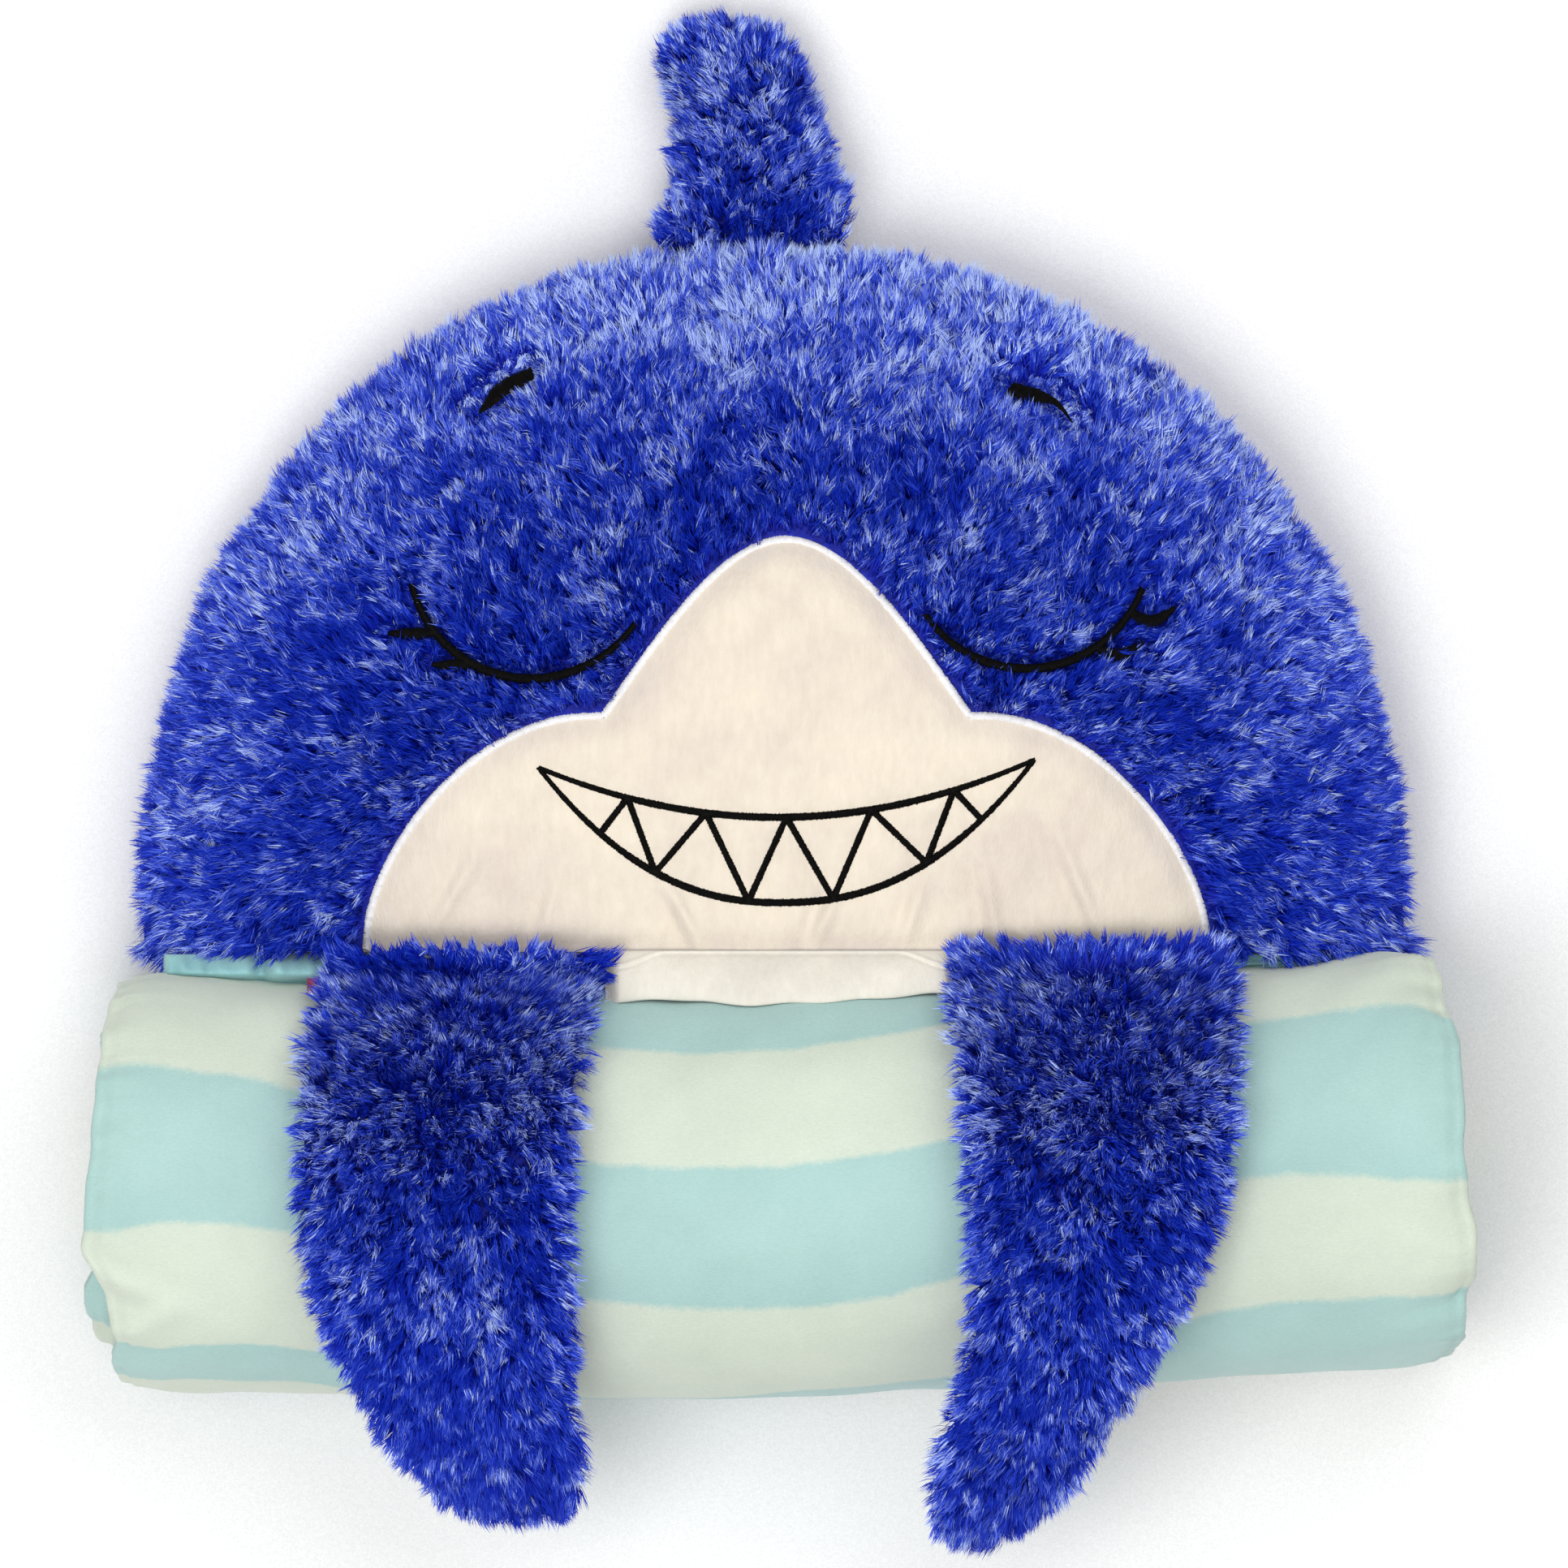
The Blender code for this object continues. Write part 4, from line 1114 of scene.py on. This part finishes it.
# How far the roll's ends reach, at places along Y before the roll is bent. The outer turn has a
# notch near its lower left corner, where the next turn's edge curls out.
LEFT_END_Y = (
    *(-0.290, -0.2836, -0.275, -0.2625, -0.249, -0.236, -0.228),
    *(-0.2214, -0.2105, -0.1695, -0.131, -0.0946, -0.080),
)
LEFT_END = (
    *(0.300, 0.3085, 0.3164, 0.3137, 0.3172, 0.3199, 0.3245),
    *(0.3306, 0.3290, 0.3249, 0.3222, 0.3126, 0.306),
)
RIGHT_END_Y = (
    *(-0.2790, -0.2769, -0.2737, -0.2689, -0.2529, -0.2442, -0.2397, -0.2213),
    *(-0.2105, -0.1949, -0.1671, -0.1455, -0.1379, -0.1221, -0.1031, -0.0990),
)
RIGHT_END = (
    *(0.3160, 0.3195, 0.3225, 0.3228, 0.3225, 0.3262, 0.3262, 0.3265),
    *(0.3240, 0.3215, 0.3210, 0.3200, 0.3200, 0.3135, 0.3075, 0.3030),
)
# Soft folds on top of the outer turn: place, direction in degrees, half length, half width, height.
QUILT_FOLDS = (
    (-0.312, -0.262, 28, 0.030, 0.0060, 0.0034),
    (-0.306, -0.238, -22, 0.034, 0.0060, 0.0026),
    (-0.316, -0.216, -40, 0.022, 0.0045, 0.0014),
    (-0.320, -0.192, -30, 0.013, 0.0026, 0.0014),
    (-0.320, -0.178, -12, 0.012, 0.0024, 0.0013),
    (-0.320, -0.165, 12, 0.014, 0.0026, 0.0014),
    (-0.320, -0.150, 4, 0.012, 0.0024, 0.0012),
    (-0.318, -0.136, -8, 0.012, 0.0026, 0.0013),
    (0.312, -0.128, 75, 0.018, 0.0040, 0.0020),
    (0.316, -0.232, -20, 0.020, 0.0045, 0.0018),
    (0.312, -0.262, 20, 0.026, 0.0055, 0.0016),
    (0.300, -0.190, 8, 0.030, 0.0080, 0.0008),
)
# Edges of the printed stripes on top of the roll, as Y at places along X.
STRIPE_X = (-0.320, -0.270, -0.233, -0.160, -0.091, -0.040, 0.000, 0.042, 0.083, 0.150, 0.220, 0.270, 0.320)
CREAM_TO_TEAL = (
    *(-0.1375, -0.1425, -0.1500, -0.1710, -0.1856, -0.1877, -0.1868),
    *(-0.1818, -0.1722, -0.1465, -0.1205, -0.1132, -0.1155),
)
TEAL_TO_CREAM = (
    *(-0.2187, -0.2137, -0.2180, -0.2395, -0.2520, -0.2550, -0.2540),
    *(-0.2500, -0.2390, -0.2157, -0.1928, -0.1922, -0.1948),
)
TOP_TURN = 0.54  # the top of the outer turn, as a share of a turn from the spiral's start
SHOWN_TURNS = (0.27, 0.80)  # the part of the outer turn that is seen from above
STRIPE_BEFORE = 0.0683  # widths of the stripes that go on before and after the ones laid out
STRIPE_AFTER = 0.066


def roll_reach(angle):
    """How far the roll's outside is from its middle line, with its bottom pressed flat."""
    reach = 1 / np.hypot(np.cos(angle) / ROLL_HALF_DEPTH, np.sin(angle) / ROLL_HALF_HEIGHT)
    ground = ROLL_Z / np.maximum(-np.sin(angle), 0.05)
    return (reach**-14 + ground**-14) ** (-1 / 14)


def roll_section(turn, depth):
    """Y and Z of the spiral's section. depth is measured inwards from the outside of the layer."""
    angle = ROLL_START - turn * 2 * math.pi
    whole = np.floor(turn + 1e-9)
    wound = ROLL_PITCH * (whole + ease((turn - whole - TUCK_FROM) / (1 - TUCK_FROM)))
    reach = roll_reach(angle) * (1 - (wound + depth) / ROLL_REACH)
    return ROLL_Y + reach * np.cos(angle), ROLL_Z + reach * np.sin(angle)


def roll_points(turn, depth, x):
    """Points of the spiral at x, where the whole section is shifted."""
    y, z = roll_section(turn, depth)
    return join(x, y + roll_shift(x), z)


def build_quilt():
    """The padded spiral, as rows along its turns and columns round the section of one layer."""
    turn = np.concatenate([np.linspace(0.0, 1.02, 170), np.linspace(1.03, ROLL_TURNS, 170)])[:, None]
    half = ROLL_PITCH / 2 - 0.0007
    mid_y, _ = roll_section(turn, ROLL_PITCH / 2)
    outer = turn < 1.0
    left = np.where(outer, curve_through(mid_y, LEFT_END_Y, LEFT_END), 0.3215)
    curl = bump(mid_y + 0.245, 0.016) * (turn > 1.0) * (turn < 2.0)
    left = left + 0.008 * curl
    inner_right = 0.3190 - 0.0130 * ease((mid_y + 0.155) / 0.05)
    right = np.where(outer, curve_through(mid_y, RIGHT_END_Y, RIGHT_END), inner_right)

    line = np.sin(np.linspace(-1.0, 1.0, 96) * 1.32) / math.sin(1.32)
    cap = np.linspace(-math.pi / 2, math.pi / 2, 9)[1:-1]
    flat, round_end = np.ones_like(line), np.ones_like(cap)
    across = np.concatenate([line, round_end, line[::-1], -round_end])[None, :]
    side = np.concatenate([-flat, np.sin(cap), flat, -np.sin(cap)])[None, :]
    bulge = np.concatenate([0 * flat, np.cos(cap), 0 * flat, np.cos(cap)])[None, :]

    reach = np.where(across > 0, right, left)
    rim = 0.006
    seam_groove = 0.0012 * bump(side, 0.20) * (bulge > 0.3)
    x = across * (reach - rim) + np.sign(across) * (bulge * rim - seam_groove)
    inset = reach - np.abs(x)
    arc = turn * 0.52
    crumple = join(arc, np.sign(x) * 0.3, 0.0)
    pucker = ripple(crumple, 0.013, 51) + 0.6 * ripple(crumple, 0.006, 52)
    thick = half * (0.55 + 0.45 * ease((inset + 0.002) / 0.026))
    depth = ROLL_PITCH / 2 + side * thick
    near_end = np.exp(-((inset / 0.020) ** 1.4))
    depth = depth + (0.0009 * pucker + 0.0006 * pucker * bump(inset - 0.006, 0.005)) * near_end
    depth = depth - side * 0.0022 * bump(inset - 0.0050, 0.0014)
    points = roll_points(turn, depth, x)
    sheet = join(x, arc, 0.0)
    puff = 0.0009 * ripple(sheet, 0.060, 53) + 0.0004 * ripple(sheet, 0.022, 54)
    centre = join(x, ROLL_Y + roll_shift(x), ROLL_Z)
    points = points + unit(points - centre) * np.where(side < 0, puff, 0.0)[..., None]
    points[..., 0] += 0.0007 * ripple(crumple + 3.0, 0.014, 55) * np.sign(x) * near_end
    outside = outer & (side < 0)
    above = (points[..., 2] > ROLL_Z) & outside
    for fold_x, fold_y, way, length, wide, high in QUILT_FOLDS:
        dx, dy = points[..., 0] - fold_x, points[..., 1] - roll_shift(points[..., 0]) - fold_y
        raised = high * fold(dx, dy, way, length, wide, 1.6 * wide, wide)
        points[..., 2] += np.where(above, raised, 0.0)
    shoulder = ease((np.abs(x) - 0.245) / 0.05) * ease((points[..., 1] + 0.130) / 0.035) * outside
    points[..., 1] += np.where(x < 0, 0.0018, 0.0040) * shoulder
    points[..., 2] = np.maximum(points[..., 2], 0.0004)

    rows, columns = points.shape[:2]
    faces = grid_faces(rows, columns, ring=True)
    faces.append(tuple(range(columns))[::-1])
    faces.append(tuple(range((rows - 1) * columns, rows * columns)))
    quilt = add_mesh("rolled_quilt", points.reshape(-1, 3), faces, PRINT)
    band = quilt.data.attributes.new("band", "FLOAT", "POINT")
    band.data.foreach_set("value", np.asarray(stripe_bands(turn, x), np.float32).ravel())
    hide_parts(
        "back_quilt_cover",
        "back_quilt_batting",
        "back_quilt_lining",
        "front_quilt_lining",
        "front_quilt_batting",
        "front_quilt_cover",
        "left_side_seam",
        "right_side_seam",
    )
    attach(quilt, "sack")


def stripe_bands(turn, x):
    """Each point's place among the stripes: whole numbers at their edges, teal above 0, cream above 1."""
    middle = roll_points(turn, 0.0, 0.0)[:, 0]
    step = np.linalg.norm(np.diff(middle, axis=0), axis=1)
    arc = np.concatenate([[0.0], np.cumsum(step)])
    first = turn[:, 0]
    way = np.interp(TOP_TURN, first, arc) - arc
    shown = (first > SHOWN_TURNS[0]) & (first < SHOWN_TURNS[1])
    local_y = middle[shown, 1]
    shown_way = way[shown]

    def way_at(edge_y):
        edge = curve_through(x, STRIPE_X, edge_y) - roll_shift(x)
        return np.interp(edge, local_y, shown_way)

    teal = way_at(CREAM_TO_TEAL)
    cream = way_at(TEAL_TO_CREAM)
    next_teal = cream + 0.064 + 0.004 * np.sin(x * 14) + 0.022 * bump(x + 0.075, 0.055)
    next_cream = next_teal + 0.030 + 0.045 * ease((x + 0.20) / 0.12)
    before = teal - 0.060 - 0.025 * ease((np.abs(x) - 0.13) / 0.07) - 0.007 * bump(x - 0.10, 0.05)
    here = way[:, None]
    band = -1 - (before - here) / STRIPE_BEFORE
    edges = (before, teal, cream, next_teal, next_cream)
    for number, (low, high) in enumerate(zip(edges[:-1], edges[1:]), start=-1):
        band = np.where(here >= low, number + (here - low) / (high - low), band)
    return np.where(here >= next_cream, 3 + (here - next_cream) / STRIPE_AFTER, band)


# ---------------------------------------------------------------- camera, light and floor

PHOTO_WIDTH = 0.7419  # how much the picture takes in, at the height FOCUS_Z
PHOTO_MIDDLE = (0.0008, -0.0029)
FOCUS_Z = 0.08
CAMERA_DISTANCE = 10.0


def build_stage():
    scene = bpy.context.scene
    scene.view_settings.view_transform = "Standard"
    scene.view_settings.look = "None"
    floor = grid_piece(
        "floor",
        join(*np.meshgrid([-6.0, 6.0], [-6.0, 6.0]), -0.0005),
        plain_cloth("floor_paper", (0.93, 0.93, 0.93), (0.92, 0.92, 0.92), 2, (0.85, 0.9)),
    )
    world = bpy.data.worlds.new("studio")
    world.use_nodes = True
    world.node_tree.nodes["Background"].inputs["Color"].default_value = (1.0, 1.0, 1.0, 1.0)
    world.node_tree.nodes["Background"].inputs["Strength"].default_value = 0.62
    scene.world = world
    for name, place, size, power in (
        ("key", (-0.60, -0.65, 2.5), 1.4, 35.0),
        ("fill", (0.55, 1.0, 2.4), 1.8, 21.0),
    ):
        light = bpy.data.lights.new(name, "AREA")
        light.size = size
        light.energy = power
        lamp = bpy.data.objects.new(name, light)
        lamp.location = place
        lamp.rotation_euler = Vector(place).to_track_quat("Z", "Y").to_euler()
        lamp.visible_camera = False
        scene.collection.objects.link(lamp)
    camera = bpy.data.cameras.new("camera")
    camera.sensor_width = 36.0
    camera.lens = camera.sensor_width * CAMERA_DISTANCE / PHOTO_WIDTH
    camera.clip_end = 100.0
    eye = bpy.data.objects.new("camera", camera)
    eye.location = (*PHOTO_MIDDLE, FOCUS_Z + CAMERA_DISTANCE)
    scene.collection.objects.link(eye)
    scene.camera = eye


build_stage()
build_head()
build_flipper("left", -1, LEFT_FLIPPER_TIP_Y, LEFT_FLIPPER_EDGES, 31)
build_flipper("right", 1, RIGHT_FLIPPER_TIP_Y, RIGHT_FLIPPER_EDGES, 41)
build_fin()
build_face()
build_eyes()
build_back()
build_neck()
build_chin()
build_label()
build_quilt()
build_gusset()
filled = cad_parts["head_filling"]
filled.data.materials.clear()
filled.data.materials.append(FILLING)
